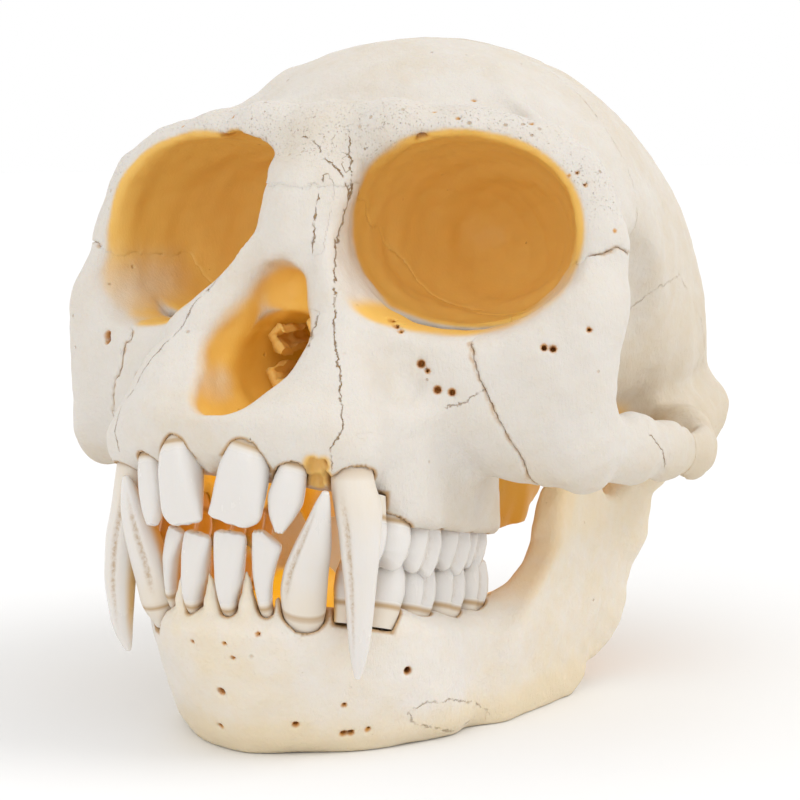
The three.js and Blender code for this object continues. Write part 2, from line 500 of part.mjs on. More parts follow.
function simplify({ points, faces }, target) {
  const quadrics = points.map(() => new Float64Array(10));
  const around = points.map(() => new Set());
  const alive = faces.map(() => true);
  const normalOf = (a, b, c) => {
    const ux = b[0] - a[0];
    const uy = b[1] - a[1];
    const uz = b[2] - a[2];
    const vx = c[0] - a[0];
    const vy = c[1] - a[1];
    const vz = c[2] - a[2];
    return [uy * vz - uz * vy, uz * vx - ux * vz, ux * vy - uy * vx];
  };
  faces.forEach((face, index) => {
    const n = normalOf(...face.map((v) => points[v]));
    const area = Math.hypot(...n) || 1e-12;
    const [a, b, c] = n.map((value) => value / area);
    const d = -(a * points[face[0]][0] + b * points[face[0]][1] + c * points[face[0]][2]);
    const terms = [a * a, a * b, a * c, a * d, b * b, b * c, b * d, c * c, c * d, d * d];
    for (const v of face) {
      terms.forEach((term, i) => { quadrics[v][i] += term * area; });
      around[v].add(index);
    }
  });
  const errorAt = (q, [x, y, z]) => q[0] * x * x + 2 * q[1] * x * y + 2 * q[2] * x * z + 2 * q[3] * x
    + q[4] * y * y + 2 * q[5] * y * z + 2 * q[6] * y + q[7] * z * z + 2 * q[8] * z + q[9];
  // Best place for a joined vertex: where its planes meet, held back towards the middle of the edge
  const bestPlace = (q, p, r) => {
    const middle = p.map((value, i) => (value + r[i]) / 2);
    const hold = HOLD * (q[0] + q[4] + q[7]);
    const [xx, yy, zz] = [q[0] + hold, q[4] + hold, q[7] + hold];
    const [xy, xz, yz] = [q[1], q[2], q[5]];
    const [bx, by, bz] = [q[3], q[6], q[8]].map((value, i) => hold * middle[i] - value);
    const det = xx * (yy * zz - yz * yz) - xy * (xy * zz - yz * xz) + xz * (xy * yz - yy * xz);
    const place = [
      (bx * (yy * zz - yz * yz) - xy * (by * zz - yz * bz) + xz * (by * yz - yy * bz)) / det,
      (xx * (by * zz - bz * yz) - bx * (xy * zz - yz * xz) + xz * (xy * bz - by * xz)) / det,
      (xx * (yy * bz - yz * by) - xy * (xy * bz - by * xz) + bx * (xy * yz - yy * xz)) / det,
    ];
    return distance2(place, middle) < LONGEST_MOVE ** 2 * distance2(p, r) ? place : middle;
  };
  const heap = [];
  const push = (item) => {
    let i = heap.push(item) - 1;
    while (i > 0 && heap[(i - 1) >> 1].cost > heap[i].cost) {
      const up = (i - 1) >> 1;
      [heap[i], heap[up]] = [heap[up], heap[i]];
      i = up;
    }
  };
  const pop = () => {
    const top = heap[0];
    const last = heap.pop();
    if (heap.length) {
      heap[0] = last;
      let i = 0;
      for (;;) {
        let child = 2 * i + 1;
        if (child >= heap.length) break;
        if (child + 1 < heap.length && heap[child + 1].cost < heap[child].cost) child += 1;
        if (heap[child].cost >= heap[i].cost) break;
        [heap[i], heap[child]] = [heap[child], heap[i]];
        i = child;
      }
    }
    return top;
  };
  const stamp = points.map(() => 0);
  const offer = (a, b) => {
    const q = quadrics[a].map((value, i) => value + quadrics[b][i]);
    const place = bestPlace(q, points[a], points[b]);
    const length = Math.hypot(...points[a].map((value, i) => value - points[b][i]));
    const cost = errorAt(q, place) + LENGTH_COST * length ** 3;
    push({ a, b, place, q, cost, stamp: stamp[a] + stamp[b] });
  };
  const neighbours = (v) => {
    const near = new Set();
    for (const index of around[v]) faces[index].forEach((w) => w !== v && near.add(w));
    return near;
  };
  points.forEach((_, v) => neighbours(v).forEach((w) => v < w && offer(v, w)));
  let count = faces.length;
  while (count > target && heap.length) {
    const { a, b, place, q, stamp: made } = pop();
    if (!around[a].size || !around[b].size || made !== stamp[a] + stamp[b]) continue;
    const nearA = neighbours(a);
    if (!nearA.has(b)) continue;
    const shared = [...neighbours(b)].filter((w) => nearA.has(w));
    if (shared.length !== 2) continue;
    const moved = (v, index) => {
      const old = faces[index].map((w) => points[w]);
      const fresh = faces[index].map((w) => (w === v ? place : points[w]));
      const n0 = normalOf(...old);
      const n1 = normalOf(...fresh);
      const l0 = Math.hypot(...n0);
      const l1 = Math.hypot(...n1);
      const even = (l, [p, q, r]) => l / Math.max(distance2(p, q), distance2(q, r), distance2(r, p));
      const before = even(l0, old);
      const after = even(l1, fresh);
      const turned = n0[0] * n1[0] + n0[1] * n1[1] + n0[2] * n1[2] < MOST_TURN * l0 * l1;
      return after > Math.min(THINNEST, THINNER_BY * before) && !turned;
    };
    const fits = [[a, b], [b, a]].every(([v, w]) => [...around[v]]
      .every((index) => faces[index].includes(w) || moved(v, index)));
    if (!fits) continue;
    points[a] = place;
    quadrics[a] = q;
    for (const index of [...around[b]]) {
      if (faces[index].includes(a)) {
        faces[index].forEach((w) => around[w].delete(index));
        alive[index] = false;
        count -= 1;
      } else {
        faces[index] = faces[index].map((w) => (w === b ? a : w));
        around[a].add(index);
      }
    }
    around[b].clear();
    stamp[a] += 1e6;
    stamp[b] += 1e6;
    neighbours(a).forEach((w) => offer(a, w));
  }
  return { points, faces: faces.filter((_, index) => alive[index]) };
}

// Solids, and back to a geometry
function solidOf(geometry) {
  geometry.deleteAttribute('normal');
  geometry.deleteAttribute('uv');
  const merged = mergeVertices(geometry, 1e-4);
  return new wasm.Manifold(new wasm.Mesh({
    numProp: 3,
    vertProperties: new Float32Array(merged.attributes.position.array),
    triVerts: new Uint32Array(merged.index.array),
  }));
}

function geometryOf(points, faces) {
  const geometry = new THREE.BufferGeometry();
  geometry.setAttribute('position', new THREE.Float32BufferAttribute(points.flat(), 3));
  geometry.setIndex(faces.flat());
  return geometry;
}

function largest(solid) {
  return solid.decompose().sort((a, b) => b.volume() - a.volume())[0];
}

// Tooth: oval rings across the tooth's own axis from the sunk root to the tip, closed at both ends
function tooth({ neck, tip, out, size, rings, bow = 0 }) {
  const root = new THREE.Vector3(...neck);
  const axis = new THREE.Vector3(...tip).sub(root);
  const outward = new THREE.Vector3(...out);
  outward.addScaledVector(axis, -axis.dot(outward) / axis.lengthSq()).normalize();
  const side = outward.clone().cross(axis).normalize();
  const cusped = rings === MOLAR;
  const along = (t) => root.clone().addScaledVector(axis, t).addScaledVector(outward, 4 * bow * (t - t * t));
  const points = [];
  rings.forEach(([t, wide, deep], r) => {
    for (let i = 0; i < TOOTH_SIDES; i += 1) {
      const turn = (i + 0.5) / TOOTH_SIDES * Math.PI * 2;
      const point = along(t).addScaledVector(side, Math.cos(turn) * wide * size[0] / 2)
        .addScaledVector(outward, Math.sin(turn) * deep * size[1] / 2);
      if (cusped && r === rings.length - 1) point.addScaledVector(axis, i % 2 ? CUSP.rise : CUSP.groove);
      points.push(point.toArray());
    }
  });
  const last = rings[rings.length - 1][0];
  points.push(along(rings[0][0]).toArray(), along(cusped ? last + CUSP.basin : last).toArray());
  const faces = [];
  const facing = side.clone().cross(outward).dot(axis) > 0;
  const put = (a, b, c) => faces.push(facing ? [a, b, c] : [a, c, b]);
  const top = (rings.length - 1) * TOOTH_SIDES;
  for (let i = 0; i < TOOTH_SIDES; i += 1) {
    const j = (i + 1) % TOOTH_SIDES;
    for (let a = 0; a < top; a += TOOTH_SIDES) {
      put(a + i, a + j, a + j + TOOTH_SIDES);
      put(a + i, a + j + TOOTH_SIDES, a + i + TOOTH_SIDES);
    }
    put(points.length - 2, j, i);
    put(points.length - 1, top + i, top + j);
  }
  return solidOf(geometryOf(points, faces));
}

function toothRow(teeth) {
  const mirrored = ([x, y, z]) => [-x, y, z];
  return teeth.flatMap((one) => {
    const { neck, tip, out } = one;
    return [tooth(one), tooth({ ...one, neck: mirrored(neck), tip: mirrored(tip), out: mirrored(out) })];
  });
}

// Regions on one side of each suture, which part the sculpted bone
function offsetOutline(points, distance) {
  const area = points.reduce((sum, [x, y], i) => {
    const [nx, ny] = points[(i + 1) % points.length];
    return sum + x * ny - nx * y;
  }, 0);
  const sign = Math.sign(area) * distance;
  const normal = (p, q) => {
    const length = Math.hypot(q[0] - p[0], q[1] - p[1]);
    return [(q[1] - p[1]) / length, (p[0] - q[0]) / length];
  };
  return points.map((p, i) => {
    const before = normal(points[(i + points.length - 1) % points.length], p);
    const after = normal(p, points[(i + 1) % points.length]);
    const scale = sign / (1 + before[0] * after[0] + before[1] * after[1]);
    return [p[0] + (before[0] + after[0]) * scale, p[1] + (before[1] + after[1]) * scale];
  });
}

// Prism over an outline. The axes are the directions of the outline's two axes and of the prism.
function prism(outline, [near, far], axes, grow) {
  const shape = new THREE.Shape(offsetOutline(outline, grow).map(([u, v]) => new THREE.Vector2(u, v)));
  const geometry = new THREE.ExtrudeGeometry(shape, { depth: far - near + 2 * grow, bevelEnabled: false });
  geometry.translate(0, 0, near - grow);
  const basis = new THREE.Matrix4().makeBasis(...axes.map((axis) => new THREE.Vector3(...axis)));
  geometry.applyMatrix4(basis);
  return solidOf(basis.determinant() < 0 ? turnedOut(geometry) : geometry);
}

// Reverse the triangles of a geometry that its axes have mirrored
function turnedOut(geometry) {
  const position = geometry.attributes.position.array;
  for (let i = 0; i < position.length; i += 9) {
    for (let m = 0; m < 3; m += 1) {
      [position[i + 3 + m], position[i + 6 + m]] = [position[i + 6 + m], position[i + 3 + m]];
    }
  }
  return geometry;
}

function cheekboneRegion(side, grow) {
  const axes = [[side, 0, 0], [0, 0, 1], [0, 1, 0]];
  return prism(CHEEKBONE_FRONT, CHEEKBONE_DEPTH, axes, grow).add(prism(ARCH_FRONT, ARCH_DEPTH, axes, grow));
}

function faceRegion(grow) {
  const axes = [[0, 1, 0], [0, 0, 1], [1, 0, 0]];
  return prism(UPPER_JAW_SIDE, [-UPPER_JAW_HALF_WIDTH, UPPER_JAW_HALF_WIDTH], axes, grow)
    .add(prism(NOSE_SIDE_OUTLINE, [-NOSE_HALF_WIDTH, NOSE_HALF_WIDTH], axes, grow));
}

// Bones
function sculpt(field, [low, high], step, triangles) {
  const surface = simplify(relax(polygonise(field, low, high, step), field), triangles);
  return evened(largest(solidOf(geometryOf(surface.points, surface.faces))));
}

// Both halves alike: the left one is kept and turned over for the right one
function evened(solid) {
  const left = solid.trimByPlane([1, 0, 0], 0);
  const { vertProperties, triVerts } = left.getMesh();
  const turned = vertProperties.map((value, i) => (i % 3 ? value : -value));
  const geometry = new THREE.BufferGeometry();
  geometry.setAttribute('position', new THREE.BufferAttribute(turned, 3));
  geometry.setIndex(new THREE.BufferAttribute(triVerts.slice().reverse(), 1));
  return left.add(solidOf(geometry));
}

function withTeeth(bone, teeth) {
  return largest(toothRow(teeth).reduce((solid, one) => solid.add(one), bone));
}

const wholeCranium = sculpt(cranium, CRANIUM_BOX, BONE_STEP, CRANIUM_TRIANGLES);
const jaw = sculpt(mandible, JAW_BOX, JAW_STEP, JAW_TRIANGLES);
const cheeks = cheekboneRegion(1, SUTURE_GAP).add(cheekboneRegion(-1, SUTURE_GAP));

const bones = {
  braincase: largest(wholeCranium.subtract(faceRegion(SUTURE_GAP).add(cheeks))),
  face: withTeeth(largest(wholeCranium.intersect(faceRegion(0)).subtract(cheeks)), UPPER_TEETH),
  cheekbone_left: largest(wholeCranium.intersect(cheekboneRegion(1, 0))),
  cheekbone_right: largest(wholeCranium.intersect(cheekboneRegion(-1, 0))),
  mandible: withTeeth(jaw.trimByPlane([0, 0, 1], 0), LOWER_TEETH),
};

const group = new THREE.Group();
for (const [name, solid] of Object.entries(bones)) {
  const { vertProperties, triVerts } = solid.getMesh();
  const geometry = new THREE.BufferGeometry();
  geometry.setAttribute('position', new THREE.BufferAttribute(vertProperties, 3));
  geometry.setIndex(new THREE.BufferAttribute(triVerts, 1));
  const mesh = new THREE.Mesh(geometry, new THREE.MeshStandardMaterial(FINISH[name]));
  mesh.name = name;
  group.add(mesh);
}
const bounds = new THREE.Box3().setFromObject(group);
group.position.y = -(bounds.min.y + bounds.max.y) / 2;

export default group;
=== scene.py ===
"""Monkey skull, dressed: its bones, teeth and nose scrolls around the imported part, with studio and camera.

Sizes inside the classes are in millimetres on the skull's own axes: x to its own left, y backwards,
z up from the table, with glabella, the middle of the brow, at y = 0. Meshes are written in metres in the
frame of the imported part.
"""

from __future__ import annotations

import logging
import math
import sys
from concurrent.futures import ThreadPoolExecutor
from dataclasses import dataclass, field
from enum import Enum
from typing import Any, Callable, Iterable, Sequence, Union

import bpy
import numpy as np
from mathutils import Matrix, Vector


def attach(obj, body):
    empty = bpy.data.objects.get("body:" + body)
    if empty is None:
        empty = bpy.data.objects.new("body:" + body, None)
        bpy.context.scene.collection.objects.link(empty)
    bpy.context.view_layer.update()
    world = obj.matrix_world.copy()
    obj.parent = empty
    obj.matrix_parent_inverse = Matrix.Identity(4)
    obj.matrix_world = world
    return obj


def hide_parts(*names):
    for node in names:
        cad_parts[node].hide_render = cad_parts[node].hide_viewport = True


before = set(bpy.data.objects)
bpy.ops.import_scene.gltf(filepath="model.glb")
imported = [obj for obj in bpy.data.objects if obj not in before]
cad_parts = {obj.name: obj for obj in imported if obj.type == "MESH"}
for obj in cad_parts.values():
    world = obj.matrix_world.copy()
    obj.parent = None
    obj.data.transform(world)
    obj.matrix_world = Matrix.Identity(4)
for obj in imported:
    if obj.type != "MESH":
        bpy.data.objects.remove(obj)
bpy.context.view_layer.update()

Array = np.ndarray
Point = tuple[float, float, float]
Ring = tuple[float, float, float, float]
Bar = tuple[float, float, float, float, float]
Corner = tuple[float, float]

MM = 0.001
WORKERS = 4

# In millimetres: where glabella lies along y in the part's frame, a distance too great to mark the bone,
# and how deep light scatters in bone and enamel
GLABELLA_BACK = -26.410
AWAY = 9.0
SCATTER_DEPTH = 1.5

log = logging.getLogger("skull")


# Small maths on arrays


def smooth(low: float, high: float, value: Array) -> Array:
    """Ease from 0 at low to 1 at high; low may be the larger of the two."""
    t = np.clip((value - low) / (high - low), 0.0, 1.0)
    return t * t * (3.0 - 2.0 * t)


def mix(a: Any, b: Any, t: Array) -> Array:
    """Go from a to b as t goes from 0 to 1."""
    return a + (b - a) * t


def fade(ends: Corner, places: Corner, value: Array) -> Array:
    """Ease from the first end to the second between two places."""
    return mix(ends[0], ends[1], smooth(places[0], places[1], value))


def blend(a: Array, b: Array, fillet: float) -> Array:
    """Join two fields with a fillet between them."""
    h = np.maximum(fillet - np.abs(a - b), 0.0) / fillet
    return np.minimum(a, b) - h * h * (fillet / 4.0)


def carve(body: Array, hole: Array, fillet: float) -> Array:
    """Cut a hole out of a field, with its edge rounded."""
    return -blend(-body, hole, fillet)


def box_of(points: Sequence[Sequence[float]], grow: float) -> tuple[Point, Point]:
    """Give the lowest and highest corners round some points, grown all round."""
    rows = np.array([p[:3] for p in points])
    return tuple(rows.min(0) - grow), tuple(rows.max(0) + grow)


# Shapes: each gives a distance field, below zero inside, and the box it reaches


@dataclass(frozen=True)
class Egg:
    """An ellipsoid with its own reach forwards, backwards, up and down."""

    middle: Point
    half: float
    front: float
    back: float
    up: float
    down: float
    slope: float = 0.0

    def at(self, x: Array, y: Array, z: Array) -> Array:
        """Give the distance at some points."""
        dx, dy, dz = x - self.middle[0], y - self.middle[1], z - self.middle[2]
        dz = dz + self.slope * dy
        ry = np.where(dy < 0, self.front, self.back)
        rz = np.where(dz > 0, self.up, self.down)
        k0 = np.sqrt((dx / self.half) ** 2 + (dy / ry) ** 2 + (dz / rz) ** 2)
        k1 = np.sqrt((dx / self.half**2) ** 2 + (dy / ry**2) ** 2 + (dz / rz**2) ** 2)
        return k0 * (k0 - 1.0) / np.maximum(k1, 1e-6)

    def reach(self) -> tuple[Point, Point]:
        """Give the box round the egg."""
        x, y, z = self.middle
        lean = self.slope * max(self.front, self.back)
        low = (x - self.half, y - self.front, z - self.down - lean)
        return low, (x + self.half, y + self.back, z + self.up + lean)


def ball(middle: Point, radii: Point) -> Egg:
    """Make an ellipsoid of three radii."""
    return Egg(middle, radii[0], radii[1], radii[1], radii[2], radii[2])


def beside(a: Sequence[float], b: Sequence[float], x: Array, y: Array, z: Array) -> tuple[Array, ...]:
    """Say where points stand beside the line from a to b.

    Returns:
        The place along the line, 0 to 1, and the way from the line to each point.
    """
    dx, dy, dz = (b[i] - a[i] for i in range(3))
    along = ((x - a[0]) * dx + (y - a[1]) * dy + (z - a[2]) * dz) / (dx * dx + dy * dy + dz * dz)
    t = np.clip(along, 0.0, 1.0)
    return t, x - a[0] - dx * t, y - a[1] - dy * t, z - a[2] - dz * t


@dataclass(frozen=True)
class Rod:
    """A chain of round cones through (x, y, z, radius)."""

    points: tuple[Ring, ...]
    join: float = 2.0

    def at(self, x: Array, y: Array, z: Array) -> Array:
        """Give the distance at some points."""
        best: Union[Array, None] = None
        for a, b in zip(self.points, self.points[1:]):
            t, vx, vy, vz = beside(a, b, x, y, z)
            d = np.sqrt(vx * vx + vy * vy + vz * vz) - mix(a[3], b[3], t)
            best = d if best is None else blend(best, d, self.join)
        return best

    def reach(self) -> tuple[Point, Point]:
        """Give the box round the rod."""
        return box_of(self.points, max(p[3] for p in self.points))


@dataclass(frozen=True)
class Strap:
    """A chain of flat bars through (x, y, z, reach, thickness), thin along one direction."""

    points: tuple[Bar, ...]
    thin: Point
    join: float = 2.0

    def at(self, x: Array, y: Array, z: Array) -> Array:
        """Give the distance at some points."""
        best: Union[Array, None] = None
        for a, b in zip(self.points, self.points[1:]):
            t, vx, vy, vz = beside(a, b, x, y, z)
            n = vx * self.thin[0] + vy * self.thin[1] + vz * self.thin[2]
            w = np.sqrt(np.maximum(vx * vx + vy * vy + vz * vz - n * n, 0.0))
            wide, thick = mix(a[3], b[3], t), mix(a[4], b[4], t)
            d = (np.sqrt((w / wide) ** 2 + (n / thick) ** 2) - 1.0) * np.minimum(wide, thick)
            best = d if best is None else blend(best, d, self.join)
        return best

    def reach(self) -> tuple[Point, Point]:
        """Give the box round the strap."""
        return box_of(self.points, max(max(p[3], p[4]) for p in self.points))


@dataclass(frozen=True)
class OrbitCup:
    """The eye socket: an oval cup that opens forwards and closes towards its apex."""

    mouth: Point = (17.9, 0.4, 59.5)
    apex: Point = (9.5, 26.0, 57.0)
    half: float = 13.4
    up: float = 10.8
    tilt: float = 0.08
    squareness: float = 2.15
    flare: float = 0.012
    grow: float = 0.0
    wall_front: Union[float, None] = None

    def frame_of_cup(self) -> tuple[Array, Array, Array, float]:
        """Give the cup's axis, its sideways and upward directions, and its depth."""
        axis = np.array(self.apex) - np.array(self.mouth)
        depth = float(np.linalg.norm(axis))
        axis = axis / depth
        side = np.cross((0.0, 0.0, 1.0), axis)
        side /= np.linalg.norm(side)
        turned = side * math.cos(self.tilt) + np.cross(axis, side) * math.sin(self.tilt)
        return axis, turned, np.cross(axis, turned), depth

    def depth_at(self, x: Array, y: Array, z: Array) -> Array:
        """Give how far points lie behind the mouth of the cup."""
        axis = self.frame_of_cup()[0]
        return (x - self.mouth[0]) * axis[0] + (y - self.mouth[1]) * axis[1] + (z - self.mouth[2]) * axis[2]

    def at(self, x: Array, y: Array, z: Array) -> Array:
        """Give the distance at some points."""
        cut = 0.0
        if self.wall_front is not None:
            cut = np.maximum(self.wall_front - y, 0.0)
            y = np.maximum(y, self.wall_front)
        axis, side, top, depth = self.frame_of_cup()
        dx, dy, dz = x - self.mouth[0], y - self.mouth[1], z - self.mouth[2]
        t = dx * axis[0] + dy * axis[1] + dz * axis[2]
        a = dx * side[0] + dy * side[1] + dz * side[2]
        b = dx * top[0] + dy * top[1] + dz * top[2]
        flare = 1.0 + self.flare * np.maximum(-t, 0.0)
        ra, rb = (self.half + self.grow) * flare, (self.up + self.grow) * flare
        power = (np.abs(a) / ra) ** self.squareness + (np.abs(b) / rb) ** self.squareness
        across = power ** (1.0 / self.squareness)
        k = np.sqrt(across**2 + (np.maximum(t, 0.0) / (depth + self.grow)) ** 2)
        return (k - 1.0) * np.minimum(ra, rb) + cut

    def reach(self) -> tuple[Point, Point]:
        """Give the box round the cup, with the space in front of its mouth."""
        low, high = box_of([self.mouth, self.apex], self.half + self.grow + 3.0)
        return (low[0], -40.0, low[2]), high


@dataclass(frozen=True)
class DentalArch:
    """The horseshoe that a row of teeth follows, seen in plan."""

    half: float
    start: float
    length: float
    roundness: float
    inward: float
    deep: float = 14.0
    most: float = 1.4

    def outside(self, x: Array, y: Array) -> Array:
        """Give the distance outwards from the arch's middle line."""
        forward = np.maximum(self.start - y, 0.0) / self.length
        behind = np.clip((y - self.start) / self.deep, 0.0, self.most)
        half = self.half - self.inward * behind * behind
        power = (np.abs(x) / half) ** self.roundness + forward**self.roundness
        return (power ** (1.0 / self.roundness) - 1.0) * fade((half, self.length), (0.2, 1.0), forward)

    def mixed(self, other: "DentalArch", t: Array) -> "DentalArch":
        """Give the arch part of the way to another, for each value of t."""
        names = ("half", "start", "length", "roundness", "inward")
        return DentalArch(*(mix(getattr(self, n), getattr(other, n), t) for n in names))


@dataclass(frozen=True)
class Wrought:
    """A shape given by a function, with the box it reaches."""

    field_at: Callable[[Array, Array, Array], Array]
    low: Point
    high: Point

    def at(self, x: Array, y: Array, z: Array) -> Array:
        """Give the distance at some points."""
        return self.field_at(x, y, z)

    def reach(self) -> tuple[Point, Point]:
        """Give the box round the shape."""
        return self.low, self.high


@dataclass(frozen=True)
class Ripple:
    """A gentle unevenness: waves of about one length in many directions."""

    length: float
    height: float
    seed: int
    count: int = 6

    def at(self, x: Array, y: Array, z: Array) -> Array:
        """Give the height of the waves at some points."""
        rng = np.random.default_rng(self.seed)
        total: Union[Array, float] = 0.0
        for _ in range(self.count):
            way = rng.normal(size=3)
            way *= 2.0 * math.pi / (self.length * rng.uniform(0.7, 1.5) * np.linalg.norm(way))
            total = total + np.sin(x * way[0] + y * way[1] + z * way[2] + rng.uniform(0.0, 6.28))
        return total * (self.height / math.sqrt(self.count))


def slab(s: Array, z: Array, half: Array, low: Array, high: Array, rounding: float) -> Array:
    """Make a rounded wall round s = 0 between two heights."""
    ds = np.abs(s) - (half - rounding)
    dz = np.abs(z - (low + high) / 2.0) - ((high - low) / 2.0 - rounding)
    corner = np.sqrt(np.maximum(ds, 0.0) ** 2 + np.maximum(dz, 0.0) ** 2)
    return corner + np.minimum(np.maximum(ds, dz), 0.0) - rounding


def outline_distance(outline: Sequence[Corner], u: Array, v: Array) -> Array:
    """Give the signed distance to a closed outline, below zero inside."""
    best: Union[Array, None] = None
    inside = np.zeros(np.broadcast(u, v).shape, bool)
    for (au, av), (bu, bv) in zip(outline, tuple(outline[1:]) + (outline[0],)):
        du, dv = bu - au, bv - av
        t = np.clip(((u - au) * du + (v - av) * dv) / (du * du + dv * dv), 0.0, 1.0)
        d = (u - au - du * t) ** 2 + (v - av - dv * t) ** 2
        best = d if best is None else np.minimum(best, d)
        if dv:
            inside ^= ((av > v) != (bv > v)) & (u < du * (v - av) / dv + au)
    return np.where(inside, -1.0, 1.0) * np.sqrt(best)


# Sculpting: a field on a lattice, and the skin of the solid in it

Shape = Union[Egg, Rod, Strap, OrbitCup, Wrought]


class Clay:
    """A field on a lattice that shapes are added to and cut from, each only where it reaches."""

    SPARE = 1.5
    FAR = 40.0

    def __init__(self, x: Array, y: Array, z: Array) -> None:
        """Start with empty space on the lattice of three rows of places."""
        self.axes = (x, y, z)
        self.values = np.full((len(x), len(y), len(z)), self.FAR, np.float32)

    def window(self, shape: Shape, fillet: float) -> Union[tuple[Any, tuple[Array, ...]], None]:
        """Find the part of the lattice that a shape can change."""
        low, high = shape.reach()
        spans = []
        for places, a, b in zip(self.axes, low, high):
            grow = fillet + self.SPARE
            spans.append(slice(*np.searchsorted(places, (a - grow, b + grow))))
        if any(span.start >= span.stop for span in spans):
            return None
        x, y, z = (places[span] for places, span in zip(self.axes, spans))
        return tuple(spans), (x[:, None, None], y[None, :, None], z[None, None, :])

    def add(self, shape: Shape, fillet: float = 0.0) -> None:
        """Join a shape on."""
        found = self.window(shape, fillet)
        if found:
            here, places = found
            d = shape.at(*places)
            now = self.values[here]
            self.values[here] = blend(now, d, fillet) if fillet else np.minimum(now, d)

    def cut(self, shape: Shape, fillet: float) -> None:
        """Cut a shape out."""
        found = self.window(shape, fillet)
        if found:
            here, places = found
            self.values[here] = carve(self.values[here], shape.at(*places), fillet)


@dataclass(frozen=True)
class Lattice:
    """Evenly spaced places that fill a box; a box across the middle is alike on both sides."""

    low: Point
    high: Point
    step: float

    def places(self, axis: int) -> Array:
        """Give the places along one axis."""
        first = math.floor(self.low[axis] / self.step)
        last = math.ceil(self.high[axis] / self.step)
        return ((np.arange(first, last) + 0.5) * self.step).astype(np.float32)

    def sculpt(self, alike: Callable[[Clay], Array], apart: Callable[..., Array]) -> Array:
        """Work a field out in bands across y, on several threads.

        Args:
            alike: Shapes the side at positive x and gives its values; the other side mirrors them.
            apart: Takes the values and the open places, and gives what differs from side to side.
        """
        x, y, z = (self.places(axis) for axis in range(3))
        both = x[0] < 0 < x[-1]
        turned = x[-1] < 0

        def band(rows: Array) -> Array:
            half = x[x > 0] if both else (-x[::-1] if turned else x)
            values = alike(Clay(half, rows, z))
            if both:
                values = np.concatenate((values[::-1], values))
            elif turned:
                values = values[::-1]
            return apart(values, x[:, None, None], rows[None, :, None], z[None, None, :])

        with ThreadPoolExecutor(WORKERS) as pool:
            parts = list(pool.map(band, np.array_split(y, WORKERS * 2)))
        return np.concatenate(parts, axis=1)

    def skin(self, values: Array) -> tuple[Array, Array]:
        """Lay a closed skin of four-sided faces where the field is zero, one point to each cell it crosses.

        Returns:
            The points in millimetres and the faces, which look outwards.
        """
        values = np.pad(values, 1, constant_values=Clay.FAR)
        inside = values < 0
        count = np.zeros([n - 1 for n in values.shape], np.int8)
        corners = [(i, j, k) for i in (0, 1) for j in (0, 1) for k in (0, 1)]
        for i, j, k in corners:
            count += inside[i : i + count.shape[0], j : j + count.shape[1], k : k + count.shape[2]]
        cells = np.argwhere((count > 0) & (count < 8))
        number = np.full(count.shape, -1, np.int32)
        number[tuple(cells.T)] = np.arange(len(cells))
        total = np.zeros((len(cells), 3))
        weight = np.zeros(len(cells))
        for a in corners:
            for axis in range(3):
                if a[axis]:
                    continue
                b = tuple(c + (m == axis) for m, c in enumerate(a))
                va = values[tuple((cells + a).T)]
                vb = values[tuple((cells + b).T)]
                hit = (va < 0) != (vb < 0)
                t = np.where(hit, va / np.where(hit, va - vb, 1.0), 0.0)
                place = np.array(a, float)[None, :].repeat(len(cells), 0)
                place[:, axis] += t
                total += place * hit[:, None]
                weight += hit
        points = cells + total / weight[:, None]
        first = np.array([self.places(axis)[0] for axis in range(3)])
        points = first + (points - 1.0) * self.step
        faces = []
        for axis in range(3):
            u, v = (axis + 1) % 3, (axis + 2) % 3
            lower = [slice(None)] * 3
            upper = [slice(None)] * 3
            lower[axis], upper[axis] = slice(0, -1), slice(1, None)
            crossing = inside[tuple(lower)] != inside[tuple(upper)]
            edges = np.argwhere(crossing)
            edges = edges[(edges[:, u] > 0) & (edges[:, v] > 0)]
            edges = edges[(edges[:, u] < count.shape[u]) & (edges[:, v] < count.shape[v])]
            outward = inside[tuple(edges.T)]
            ring = []
            for du, dv in ((-1, -1), (0, -1), (0, 0), (-1, 0)):
                cell = edges.copy()
                cell[:, u] += du
                cell[:, v] += dv
                ring.append(number[tuple(cell.T)])
            quads = np.stack(ring, 1)
            quads[~outward] = quads[~outward][:, ::-1]
            faces.append(quads)
        return points, np.concatenate(faces)


# Meshes


